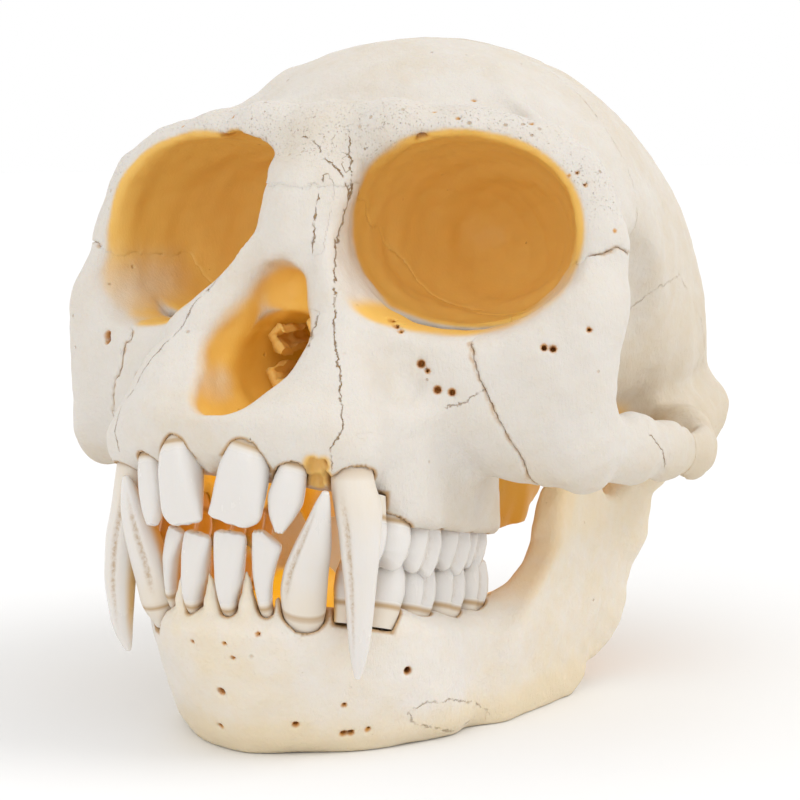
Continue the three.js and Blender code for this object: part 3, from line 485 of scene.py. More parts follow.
class Piece:
    """A finished object of the skull: a mesh in metres at the origin, which stands for CAD nodes."""

    def __init__(self, name: str, points: Array, faces: Sequence[Sequence[int]]) -> None:
        """Make the object from points in millimetres on the skull's axes.

        Args:
            name: The object's name.
            points: One row of x, y, z for each point.
            faces: Rows of point numbers, all of one length.
        """
        corners = np.asarray(faces, np.int32)
        mesh = bpy.data.meshes.new(name)
        mesh.vertices.add(len(points))
        mesh.vertices.foreach_set("co", in_metres(points).astype(np.float32).ravel())
        mesh.loops.add(corners.size)
        mesh.loops.foreach_set("vertex_index", corners.ravel())
        mesh.polygons.add(len(corners))
        mesh.polygons.foreach_set("loop_start", np.arange(0, corners.size, corners.shape[1], dtype=np.int32))
        mesh.update(calc_edges=True)
        self.finish_mesh(mesh)
        self.item = bpy.data.objects.new(name, mesh)
        bpy.context.scene.collection.objects.link(self.item)

    @classmethod
    def of_points(cls, name: str, points: Sequence[Point]) -> "Piece":
        """Make an object of loose points that a growth tree turns into a solid."""
        piece = cls.__new__(cls)
        mesh = bpy.data.meshes.new(name)
        mesh.from_pydata([tuple(p) for p in in_metres(points)], [], [])
        piece.item = bpy.data.objects.new(name, mesh)
        bpy.context.scene.collection.objects.link(piece.item)
        return piece

    def give_vectors(self, name: str, rows: Sequence[Point]) -> None:
        """Keep a vector for each point under a name, for a growth tree."""
        layer = self.item.data.attributes.new(name, "FLOAT_VECTOR", "POINT")
        layer.data.foreach_set("vector", np.array(rows, np.float32).ravel())

    @staticmethod
    def finish_mesh(mesh: bpy.types.Mesh) -> None:
        """Check a mesh and shade it smooth."""
        mesh.validate()
        mesh.shade_smooth()

    def apply(self) -> None:
        """Turn the object's modifiers into its mesh and take them off."""
        seen = self.item.evaluated_get(bpy.context.evaluated_depsgraph_get())
        mesh = bpy.data.meshes.new_from_object(seen)
        self.item.modifiers.clear()
        old = self.item.data
        mesh.name = old.name
        self.item.data = mesh
        bpy.data.meshes.remove(old)
        self.finish_mesh(mesh)

    def thin_out(self, most: int) -> None:
        """Take triangles out of flat places until at most this many are left."""
        count = sum(len(face.vertices) - 2 for face in self.item.data.polygons)
        if count > most:
            tool = self.item.modifiers.new("thin", "DECIMATE")
            tool.ratio = most / count
            self.apply()

    def points(self) -> Array:
        """Give the mesh's points in millimetres on the skull's axes."""
        flat = np.empty(len(self.item.data.vertices) * 3, np.float32)
        self.item.data.vertices.foreach_get("co", flat)
        rows = flat.reshape(-1, 3) / MM
        rows[:, 1] -= GLABELLA_BACK
        return rows

    def paint(self, masks: dict[str, Array]) -> None:
        """Keep a number for each point under each name, for the materials."""
        count = len(self.item.data.vertices)
        for name, values in masks.items():
            layer = self.item.data.attributes.new(name, "FLOAT", "POINT")
            layer.data.foreach_set("value", np.broadcast_to(values, (count,)).astype(np.float32))

    def dress(self, material: bpy.types.Material, slot: str, nodes: Sequence[str]) -> None:
        """Give the piece its material and its place in the part."""
        self.item.data.materials.clear()
        self.item.data.materials.append(material)
        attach(self.item, "root")
        if nodes:
            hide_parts(*nodes)
        triangles = sum(len(face.vertices) - 2 for face in self.item.data.polygons)
        log.info("%s: %d triangles", self.item.name, triangles)


def in_metres(points: Array) -> Array:
    """Take points from the skull's axes in millimetres to the part's frame in metres."""
    rows = np.array(points, float)
    rows[:, 1] += GLABELLA_BACK
    return rows * MM


# Shader maths

Settings = Union[dict[str, Any], None]


def socket_of(node: bpy.types.Node, key: str) -> bpy.types.NodeSocket:
    """Find an input of a node by its name, with _ for a space, or by s and its number."""
    return node.inputs[int(key[1:])] if key[1:].isdigit() else node.inputs[key.replace("_", " ")]


class ShaderTree:
    """The node tree of one material, with one way to make any node."""

    def __init__(self, name: str) -> None:
        """Start an empty material."""
        self.material = bpy.data.materials.new(name)
        self.material.use_nodes = True
        self.tree = self.material.node_tree
        self.tree.nodes.clear()

    def node(self, kind: str, settings: Settings = None, **values: Any) -> bpy.types.Node:
        """Make a node.

        Args:
            kind: The node's type.
            settings: Properties set before the sockets.
            values: What each socket holds or is linked to, under the keys that socket_of takes.
        """
        made = self.tree.nodes.new(kind)
        for key, value in (settings or {}).items():
            setattr(made, key, value)
        for key, value in values.items():
            self.feed(socket_of(made, key), value)
        return made

    def feed(self, socket: bpy.types.NodeSocket, value: Any) -> None:
        """Set a socket's own value, or link it."""
        if isinstance(value, Wire):
            self.tree.links.new(value.socket, socket)
        elif isinstance(value, bpy.types.NodeSocket):
            self.tree.links.new(value, socket)
        else:
            socket.default_value = value

    def wire(self, kind: str, settings: Settings = None, out: Any = 0, **values: Any) -> "Wire":
        """Make a node and give one of its outputs."""
        return Wire(self, self.node(kind, settings, **values).outputs[out])

    def place(self) -> "Wire":
        """Give the point on the object, in metres."""
        return self.wire("ShaderNodeTexCoord", out="Object")

    def mask(self, name: str) -> "Wire":
        """Give one of the numbers kept for each point of the piece."""
        return self.wire("ShaderNodeAttribute", {"attribute_name": name}, out="Fac")

    def noise(self, size: float, place: Union["Wire", None] = None, detail: float = 4.0,
              rough: float = 0.55) -> "Wire":
        """Give a soft noise from 0 to 1 whose lumps are about size millimetres across."""
        at = place or self.place()
        values = {"Vector": at, "Scale": 1.0 / (size * MM), "Detail": detail, "Roughness": rough}
        return self.wire("ShaderNodeTexNoise", out="Fac", **values)

    def stretched(self, stretch: Point, turn: Point = (0.0, 0.0, 0.0)) -> "Wire":
        """Give the point on the object, turned and drawn out along each axis."""
        scale = tuple(1.0 / s for s in stretch)
        return self.wire("ShaderNodeMapping", Vector=self.place(), Rotation=turn, Scale=scale)

    def pores(self, size: float, radius: float, place: Union["Wire", None] = None) -> "Wire":
        """Give 1 in the middle of small scattered pores and 0 between them."""
        at = place or self.place()
        cells = self.node("ShaderNodeTexVoronoi", {"feature": "F1"}, Vector=at, Scale=1.0 / (size * MM))
        distance = Wire(self, cells.outputs["Distance"])
        own = self.wire("ShaderNodeSeparateColor", Color=cells.outputs["Color"])
        return distance.ease(radius * own + radius * 0.15, 0.0)

    def color(self, low: Any, high: Any, share: Any, kind: str = "MIX") -> "Wire":
        """Mix two colours."""
        made = self.node("ShaderNodeMix", {"data_type": "RGBA", "blend_type": kind, "clamp_factor": True})
        self.feed(made.inputs[0], share)
        for socket, value in ((made.inputs[6], low), (made.inputs[7], high)):
            self.feed(socket, value if isinstance(value, Wire) else (*value, 1.0))
        return Wire(self, made.outputs[2])

    def bump(self, height: "Wire", depth: float, below: Any = None) -> "Wire":
        """Turn a height from 0 to 1 into a normal, depth millimetres deep."""
        values: dict[str, Any] = {"Height": height, "Distance": depth * MM}
        if below is not None:
            values["Normal"] = below
        return self.wire("ShaderNodeBump", **values)

    def close(self, values: dict[str, Any]) -> bpy.types.Material:
        """End the tree in a principled shader."""
        shader = self.node("ShaderNodeBsdfPrincipled")
        for key, value in values.items():
            self.feed(shader.inputs[key], value)
        self.node("ShaderNodeOutputMaterial", Surface=shader.outputs[0])
        return self.material


class Wire:
    """A socket that takes part in Python expressions; each operator adds its node."""

    def __init__(self, tree: ShaderTree, socket: bpy.types.NodeSocket) -> None:
        """Wrap an output socket of a tree."""
        self.tree = tree
        self.socket = socket

    def math(self, operation: str, *others: Any, swap: bool = False) -> "Wire":
        """Add a Math node on this value and others."""
        terms = [*others, self] if swap else [self, *others]
        values = {f"s{i}": term for i, term in enumerate(terms)}
        return self.tree.wire("ShaderNodeMath", {"operation": operation}, **values)

    def __add__(self, other: Any) -> "Wire":
        """Add."""
        return self.math("ADD", other)

    __radd__ = __add__

    def __mul__(self, other: Any) -> "Wire":
        """Multiply."""
        return self.math("MULTIPLY", other)

    __rmul__ = __mul__

    def __sub__(self, other: Any) -> "Wire":
        """Subtract."""
        return self.math("SUBTRACT", other)

    def __rsub__(self, other: Any) -> "Wire":
        """Subtract this from another."""
        return self.math("SUBTRACT", other, swap=True)

    def __truediv__(self, other: Any) -> "Wire":
        """Divide."""
        return self.math("DIVIDE", other)

    def __rtruediv__(self, other: Any) -> "Wire":
        """Divide another by this."""
        return self.math("DIVIDE", other, swap=True)

    def __pow__(self, other: Any) -> "Wire":
        """Raise to a power."""
        return self.math("POWER", other)

    def size(self) -> "Wire":
        """Drop the sign."""
        return self.math("ABSOLUTE")

    def most(self, other: Any) -> "Wire":
        """Give the larger of two."""
        return self.math("MAXIMUM", other)

    def ease(self, low: Any, high: Any) -> "Wire":
        """Go from 0 at low to 1 at high; low may be the larger."""
        return self.tree.wire("ShaderNodeMapRange", {"interpolation_type": "SMOOTHSTEP"}, Value=self,
                              From_Min=low, From_Max=high)


# Finishes

Color = tuple[float, float, float]


@dataclass(frozen=True)
class BoneFinish:
    """Dry bleached bone: near white outside, creamier towards the back and underneath, and amber where it is
    thin and deep.

    The amber is partly the bone's own tone and partly painted shade in its hollows, painted brighter deeper
    in.
    The amber bone is so thin that light would come through it; a painted glow stands in for that light: lit
    is the glow's colour, shine its strength.
    """

    name: str
    pale: Color = (0.70, 0.655, 0.595)
    cream: Color = (0.64, 0.54, 0.40)
    amber: Color = (0.82, 0.50, 0.12)
    glow: Color = (0.92, 0.62, 0.19)
    hot: Color = (0.60, 0.34, 0.025)
    lit: Color = (0.64, 0.34, 0.01)
    ochre: Color = (0.50, 0.285, 0.105)
    dark: Color = (0.60, 0.27, 0.04)
    roughness: float = 0.58
    shine: float = 0.85

    def material(self) -> bpy.types.Material:
        """Make the material."""
        t = ShaderTree(self.name)
        cloud = t.noise(8.0, detail=3.0)
        mottle = t.noise(1.9, detail=6.0, rough=0.65)
        grain = t.noise(0.32, t.stretched((1.0, 1.0, 3.6), (0.35, 0.25, 0.0)), 4.0, 0.65)
        creaminess = (t.mask("cream") + 0.9 * (cloud - 0.5) + 0.5 * (mottle - 0.5)).ease(0.0, 1.0)
        base = t.color(self.pale, self.cream, creaminess)
        # Amber where the bone is thin and in its hollows: partly the bone's own tone, partly painted shade.
        amber_and_shade = t.mask("amber_and_shade")
        shift = 0.5 * (cloud - 0.5)
        # Deeper in the orbits the amber turns to a brighter glow colour: painted light against the shade
        # there.
        stained = t.color(self.amber, self.glow, (t.mask("deep") + shift).ease(0.0, 1.0))
        # Deep in the nose and mouth a darker orange is painted in, with the painted glow below.
        stained = t.color(stained, self.hot, t.mask("hot") + 0.6 * shift * t.mask("hot"))
        base = t.color(base, stained, (amber_and_shade + 0.25 * amber_and_shade * (mottle - 0.5)).ease(0.02, 0.98))
        pore_mask = t.mask("pores")
        fine = t.pores(0.62, 0.2) * pore_mask.ease(0.1, 0.9) * 0.7
        coarse = t.pores(1.9, 0.2) * pore_mask.ease(0.3, 0.9)
        specks = t.noise(0.22, detail=2.0).ease(0.62, 0.74) * pore_mask * 0.4
        holes = fine.most(coarse).most(t.pores(4.2, 0.085) * 0.7).most(specks)
        # The pores are painted ochre: painted shade in their insides.
        base = t.color(base, self.ochre, holes * 0.7)
        crack = self.crack(t)
        edge = t.mask("gap").ease(0.42, 0.04) * t.noise(0.9).ease(0.3, 0.62)
        base = t.color(base, self.ochre, crack.most(edge * 0.6) * (1.0 - 0.6 * amber_and_shade))
        # An ochre line round each tooth socket: partly stain, partly painted shade in the gap round the
        # tooth.
        base = t.color(base, self.ochre, t.mask("rim").ease(0.55, 0.12) * 0.85)
        # The small openings are painted dark inside: painted shade.
        base = t.color(base, self.dark, t.mask("pit").ease(0.22, -0.1) * 0.95)
        smoothed = 1.0 - 0.8 * amber_and_shade
        normal = t.bump((mottle * 0.7 + cloud * 0.3) * smoothed, 0.34)
        normal = t.bump(grain * smoothed, 0.11, normal)
        normal = t.bump(1.0 - holes.most(crack), 0.28, normal)
        rough = self.roughness + 0.16 * (mottle - 0.5) + 0.1 * pore_mask - 0.12 * amber_and_shade
        # Painted glow: deep in the nose and mouth the bone gives out light of its own, standing in for light
        # through thin bone.
        through = t.color((0.0, 0.0, 0.0), self.lit, t.mask("hot"))
        return t.close({"Base Color": base, "Roughness": rough, "Normal": normal, "Subsurface Weight": 0.15,
                        "Subsurface Radius": (1.0, 0.6, 0.3), "Subsurface Scale": SCATTER_DEPTH * MM,
                        "IOR": 1.45, "Specular IOR Level": 0.35, "Emission Color": through,
                        "Emission Strength": self.shine})

    def crack(self, t: ShaderTree) -> Wire:
        """Draw the closed sutures: wavering hairlines that fade in and out."""
        waver = (t.noise(1.3, detail=6.0, rough=0.75) - 0.5) * 1.7
        line = (t.mask("seam") + waver).size().ease(0.12, 0.01)
        return line * t.mask("seam_on") * t.noise(1.5, detail=3.0).ease(0.36, 0.56)


@dataclass(frozen=True)
class EnamelFinish:
    """Teeth: glossy off-white crowns over creamier roots, with fine lines along them."""

    name: str = "enamel"
    crown: Color = (0.72, 0.69, 0.655)
    root: Color = (0.73, 0.655, 0.55)
    line: Color = (0.42, 0.25, 0.085)
    hollow: Color = (0.72, 0.43, 0.10)

    def material(self) -> bpy.types.Material:
        """Make the material."""
        t = ShaderTree(self.name)
        cloud = t.noise(2.6, detail=3.0)
        along = t.noise(0.8, t.stretched((1.0, 1.0, 9.0)), 3.0)
        creaminess = (t.mask("root") + 0.3 * (cloud - 0.5) + 0.3 * (along - 0.5)).ease(0.05, 0.95)
        base = t.color(self.crown, self.root, creaminess)
        speckle = t.mask("groove") * (0.35 + 0.65 * t.noise(0.5, detail=4.0, rough=0.7).ease(0.42, 0.62))
        base = t.color(base, self.line, speckle * 0.75)
        # The inner side is painted amber as shade, and the neck dark: partly stain, partly painted shade in
        # the gap.
        base = t.color(base, self.hollow, t.mask("inner") * 0.8)
        base = t.color(base, self.line, t.mask("gum") * 0.8)
        normal = t.bump(along * 0.6 + t.noise(0.3) * 0.4, 0.035)
        return t.close({"Base Color": base, "Roughness": 0.26 + 0.22 * creaminess, "Normal": normal,
                        "Subsurface Weight": 0.2, "Subsurface Radius": (1.0, 0.75, 0.5),
                        "Subsurface Scale": SCATTER_DEPTH * MM, "Coat Weight": 0.2 * (1.0 - creaminess),
                        "Coat Roughness": 0.15, "IOR": 1.5})


@dataclass(frozen=True)
class PlainFinish:
    """A plain matt surface for the studio."""

    name: str
    color: Color
    roughness: float = 0.9

    def material(self) -> bpy.types.Material:
        """Make the material."""
        t = ShaderTree(self.name)
        return t.close({
            "Base Color": (*self.color, 1.0), "Roughness": self.roughness, "Specular IOR Level": 0.1})


# Small openings in the bone


@dataclass(frozen=True)
class Pit:
    """A small opening where a vessel or nerve left the bone: a tapering bore."""

    mouth: Point
    inward: Point
    radius: float
    depth: float = 1.5

    def bore(self) -> Rod:
        """Give the bore as a shape."""
        way = np.array(self.inward) / np.linalg.norm(self.inward)
        start = tuple(np.array(self.mouth) - way * 0.8)
        end = tuple(np.array(self.mouth) + way * self.depth)
        return Rod(((*start, self.radius * 0.95), (*end, self.radius * 0.7)), 0.5)


def pit_mask(pits: Iterable[Pit], x: Array, y: Array, z: Array) -> Array:
    """Give the distance to the nearest bore."""
    return np.minimum.reduce([np.full(x.shape, AWAY)] + [pit.bore().at(x, y, z) for pit in pits])


@dataclass(frozen=True)
class Seam:
    """A suture that has grown together: a line on the bone, seen along the direction through it."""

    points: tuple[Point, ...]
    through: Point
    strength: float = 1.0
    both: bool = False
    reach: float = 5.0

    def beside_line(self, x: Array, y: Array, z: Array) -> tuple[Array, Array]:
        """Give the signed distance to the line and how much of it shows there."""
        way = np.array(self.through) / np.linalg.norm(self.through)
        first = np.cross(way, (0.31, 0.20, 0.93))
        first /= np.linalg.norm(first)
        rows = np.array((first, np.cross(way, first), way))
        u, v, w = rows @ np.array((np.abs(x) if self.both else x, y, z))
        line = np.array(self.points) @ rows.T
        best, sign = np.full(x.shape, 99.0), np.ones(x.shape)
        over, deep = np.zeros(x.shape), np.zeros(x.shape)
        for (au, av, aw), (bu, bv, bw) in zip(line, line[1:]):
            du, dv = bu - au, bv - av
            length = math.hypot(du, dv)
            t = ((u - au) * du + (v - av) * dv) / length**2
            c = np.clip(t, 0.0, 1.0)
            d = np.hypot(u - au - du * c, v - av - dv * c)
            near = d < best
            best = np.where(near, d, best)
            sign = np.where(near, np.where((u - au) * dv < (v - av) * du, -1.0, 1.0), sign)
            over = np.where(near, np.abs(t - c) * length, over)
            deep = np.where(near, np.abs(w - mix(aw, bw, c)), deep)
        shown = smooth(0.8, 0.2, over) * smooth(self.reach, self.reach - 1.5, deep)
        return sign * best, self.strength * shown


def seam_masks(seams: Iterable[Seam], x: Array, y: Array, z: Array) -> dict[str, Array]:
    """Give the signed distance to the nearest seam and how much of it shows."""
    best, shown = np.full(x.shape, AWAY), np.zeros(x.shape)
    for seam in seams:
        distance, on = seam.beside_line(x, y, z)
        near = (np.abs(distance) < np.abs(best)) & (on > 0.0)
        best, shown = np.where(near, distance, best), np.where(near, on, shown)
    return {"seam": best, "seam_on": shown}


def socket_mask(sockets: Iterable[Wrought], x: Array, y: Array, z: Array) -> Array:
    """Give the distance to the nearest tooth socket, worked out only near the sockets."""
    best = np.full(x.shape, AWAY)
    for socket in sockets:
        (x0, y0, z0), (x1, y1, z1) = socket.reach()
        near = (x > x0) & (x < x1) & (y > y0) & (y < y1) & (z > z0) & (z < z1)
        best[near] = np.minimum(best[near], np.abs(socket.at(x[near], y[near], z[near])))
    return best


def pits_at(places: Sequence[Point], inward: Point, radius: float) -> tuple[Pit, ...]:
    """Make openings of one size that go the same way in."""
    return tuple(Pit(place, inward, radius) for place in places)


# The cranium


@dataclass
class Cranium:
    """Braincase, face and cheekbones, sculpted as one and parted at their open sutures."""

    vault: Egg = Egg((0.0, 44.0, 44.0), 28.4, 35.0, 34.0, 36.3, 19.0, 0.13)
    forehead: Egg = Egg((0.0, 22.0, 56.0), 30.6, 22.0, 28.0, 26.0, 20.0)
    neck_base: Egg = Egg((0.0, 50.0, 36.0), 22.0, 24.0, 24.0, 12.0, 9.0)
    brain: Egg = Egg((0.0, 44.0, 46.0), 24.6, 31.2, 30.0, 31.0, 12.0, 0.13)
    brain_clearance: float = 1.2
    snout: Egg = Egg((0.0, -7.0, 37.0), 16.0, 19.0, 18.0, 9.5, 6.0)
    orbit: OrbitCup = OrbitCup()
    orbit_wall: OrbitCup = OrbitCup(grow=2.8, wall_front=5.0)
    brow_ring: Rod = Rod((
        (0.0, 2.4, 70.6, 4.0), (9.0, 2.1, 70.8, 3.4), (17.0, 3.6, 69.6, 3.1), (24.0, 5.6, 67.2, 3.1),
        (29.8, 6.8, 63.6, 3.3), (32.6, 5.6, 57.6, 3.1), (33.3, 3.6, 51.8, 3.2), (32.4, 1.6, 46.6, 3.4)), 3.0)
    lower_rim: Rod = Rod((
        (32.6, 2.4, 49.5, 3.0), (28.0, -1.6, 45.6, 3.0), (20.0, -5.4, 45.0, 2.9), (12.0, -8.2, 48.2, 2.8),
        (6.4, -7.0, 56.0, 2.5), (3.6, -2.0, 65.0, 3.0)), 3.0)
    nose_bridge: Rod = Rod(((0.0, 0.6, 69.0, 3.8), (0.0, -4.2, 62.0, 3.5), (0.0, -7.0, 57.5, 3.4)), 4.0)
    nose_side: Rod = Rod((
        (4.6, -6.0, 56.0, 3.0), (8.8, -10.6, 48.5, 4.0), (10.6, -16.6, 41.0, 4.4),
        (13.8, -19.4, 35.6, 3.8)), 4.0)
    premaxilla: Rod = Rod(((0.0, -22.2, 36.2, 3.2), (7.5, -21.2, 36.6, 3.4), (12.5, -18.5, 36.0, 3.6)), 4.0)
    cheek_root: Rod = Rod(((17.0, -5.0, 40.0, 6.2), (23.0, -0.6, 39.0, 6.0), (28.0, 1.6, 38.0, 5.0)), 4.0)
    arch_root: Rod = Rod(((33.0, 34.0, 31.0, 2.2), (28.4, 41.0, 31.2, 2.8), (24.6, 46.0, 31.2, 3.4)), 3.0)
    nuchal_crest: Rod = Rod((
        (26.6, 50.0, 31.5, 2.0), (24.6, 61.0, 33.0, 2.4), (12.8, 74.6, 39.5, 2.0),
        (0.0, 78.6, 43.5, 2.2)), 3.0)
    skull_floor: Rod = Rod(((0.0, 40.0, 32.0, 7.0), (0.0, 20.0, 36.0, 7.5)), 4.0)
    septum: Strap = Strap(((0.0, -2.0, 60.0, 7.0, 4.4), (0.0, 20.0, 57.0, 9.0, 6.5)), (1.0, 0.0, 0.0), 3.0)
    cheek: Strap = Strap((
        (32.0, 1.4, 49.0, 4.0, 3.0), (29.4, -0.4, 42.0, 6.2, 3.2), (29.6, 0.2, 36.2, 6.2, 3.4)),
        (0.12, -0.99, 0.0), 4.0)
    cheek_arch: Strap = Strap((
        (33.6, 2.4, 34.2, 4.2, 2.8), (36.0, 9.0, 33.6, 3.0, 2.0), (37.0, 17.0, 32.8, 2.7, 1.8),
        (35.6, 28.0, 31.4, 2.8, 1.8), (30.8, 38.0, 31.4, 2.8, 2.2)), (1.0, 0.0, 0.0), 3.0)
    pterygoid: Strap = Strap((
        (9.5, 12.0, 33.0, 6.0, 1.3), (11.0, 18.0, 28.0, 6.6, 1.3), (12.2, 27.0, 26.2, 5.6, 1.4)),
        (1.0, 0.0, 0.0), 2.0)
    nose_hole: Strap = Strap((
        (0.0, -12.0, 52.6, 3.2, 5.0), (0.0, -16.0, 47.2, 5.6, 6.4), (0.0, -19.0, 42.6, 5.0, 8.0)),
        (0.0, 1.0, 0.0), 3.0)
    nose_pocket: Rod = Rod(((0.0, 4.0, 44.5, 4.2), (0.0, -8.0, 44.0, 5.0), (0.0, -16.0, 43.2, 4.6)), 3.0)
    foramen_magnum: Rod = Rod(((0.0, 62.0, 18.0, 6.4), (0.0, 59.0, 40.0, 6.4)), 3.0)
    ear_hole: Rod = Rod(((36.0, 46.0, 31.5, 2.0), (23.0, 46.0, 31.5, 1.6)), 1.0)
    choana: Rod = Rod(((4.0, 9.0, 36.5, 3.0), (4.0, 26.0, 33.0, 3.4)), 1.0)
    temple_hollow: Egg = ball((31.0, 24.0, 43.0), (6.2, 11.0, 15.0))
    tooth_arch: DentalArch = DentalArch(15.8, -5.0, 19.8, 2.6, 1.4)
    cheekbone_front: tuple[Corner, ...] = (
        (28.8, 20.0), (28.0, 33.0), (24.6, 42.0), (22.0, 49.4), (24.0, 56.2), (31.0, 56.0), (35.0, 57.2),
        (48.0, 57.0), (48.0, 20.0))
    cheekbone_back: float = 13.0
    arch_suture: tuple[float, float, float] = (29.5, 40.0, 23.0)
    upper_jaw_side: tuple[Corner, ...] = (
        (-45.0, 50.5), (10.0, 50.5), (14.0, 44.0), (11.0, 36.0), (11.0, 10.0), (-45.0, 10.0))
    nose_side_outline: tuple[Corner, ...] = (
        (-45.0, 65.0), (-2.0, 64.4), (6.0, 60.0), (14.0, 55.0), (14.0, 44.0), (-45.0, 44.0))
    nose_half_width: float = 14.0
    masses: tuple[tuple[Point, Point, float], ...] = (
        ((24.4, 51.0, 30.2), (3.9, 7.5, 5.2), 4.0), ((7.0, 60.0, 26.5), (3.2, 5.5, 3.4), 2.0),
        ((17.0, 44.0, 28.0), (5.5, 8.0, 4.2), 3.0), ((11.0, 18.0, 44.0), (12.0, 12.0, 11.0), 5.0))
    face_masses: tuple[tuple[Point, Point, float], ...] = (
        ((13.5, 1.5, 33.0), (6.0, 8.0, 9.0), 4.0), ((0.0, 4.0, 51.5), (9.5, 13.0, 8.5), 3.0))
    relief: tuple[Ripple, ...] = (Ripple(9.0, 0.16, 3), Ripple(3.2, 0.05, 4))
    suture_waver: tuple[Ripple, ...] = (Ripple(3.6, 0.30, 11), Ripple(1.3, 0.16, 12))
    suture_gap: Corner = (-0.02, 0.05)
    orbit_shut: Corner = (1.6, 0.8)
    overlap: float = 0.7
    sunk: float = 0.07
    sockets: tuple[Wrought, ...] = ()
    spikes: tuple[Rod, ...] = (
        Rod(((-0.5, -24.6, 37.0, 2.2), (-0.7, -25.2, 35.0, 1.3), (-0.8, -25.5, 33.7, 0.5)), 0.5),
        Rod(((7.6, -23.6, 36.0, 1.4), (7.4, -24.2, 33.4, 0.5)), 0.5),
        Rod(((-7.8, -23.2, 36.0, 1.4), (-7.6, -23.9, 33.4, 0.5)), 0.5))
    breaks: tuple[Egg, ...] = (
        ball((11.9, -24.2, 34.3), (0.7, 1.4, 1.3)), ball((12.6, -23.2, 33.2), (0.6, 1.6, 0.9)),
        ball((11.4, -23.2, 32.6), (0.7, 1.3, 0.9)), ball((12.9, -23.4, 34.9), (0.5, 1.0, 0.7)))
    temple_line: Rod = Rod((
        (12.0, 24.0, 78.6, 0.3), (14.4, 17.6, 77.6, 0.6), (18.2, 13.9, 74.2, 0.7), (27.0, 6.6, 70.3, 0.8),
        (31.4, 5.9, 67.0, 0.8), (34.0, 7.3, 62.3, 0.8)), 1.0)
    pits: tuple[Pit, ...] = (
        *pits_at(((30.9, -4.9, 46.6), (31.8, -4.4, 46.4)), (-0.42, 0.88, -0.21), 0.46),
        *pits_at(((18.1, -10.5, 44.8), (20.1, -10.4, 41.9)), (-0.35, 0.92, -0.1), 0.56),
        *pits_at(((21.5, -9.5, 41.6),), (-0.35, 0.92, -0.1), 0.5),
        *pits_at(((19.0, -10.5, 44.0), (35.2, -2.1, 48.5)), (-0.45, 0.88, -0.1), 0.34),
        *pits_at(((14.1, -9.9, 49.6), (14.9, -10.3, 49.0), (15.6, -10.6, 48.5)), (-0.3, 0.9, -0.3), 0.34),
        *pits_at(((-27.3, -6.3, 45.7), (-27.6, -6.1, 46.4)), (0.35, 0.9, -0.15), 0.55),
        *pits_at(((-18.6, -10.4, 44.4), (-20.8, -9.9, 41.8), (-14.0, 0.2, 70.4)), (0.35, 0.92, 0.1), 0.52),
        *pits_at(((13.3, 0.1, 70.2), (12.8, 0.0, 70.3)), (-0.2, 0.42, 0.88), 0.5),
        *pits_at(((-21.6, 2.7, 71.7), (-12.6, -0.1, 72.8), (13.9, 1.6, 73.2), (17.2, 1.1, 72.4),
                  (14.6, 10.5, 74.5), (25.1, 4.4, 71.6)), (0.0, 0.8, -0.6), 0.24),
        *pits_at(((30.5, 2.9, 65.7), (32.4, 3.3, 64.6), (31.4, 3.3, 66.0), (35.7, 4.0, 59.4)),
                 (-0.5, 0.85, 0.0), 0.22))
    right_corner: Rod = Rod((
        (-10.0, 2.0, 67.0, 5.0), (-9.8, -2.0, 61.0, 6.2), (-11.0, -4.5, 57.0, 6.5),
        (-13.8, -6.5, 54.6, 5.8)), 2.0)
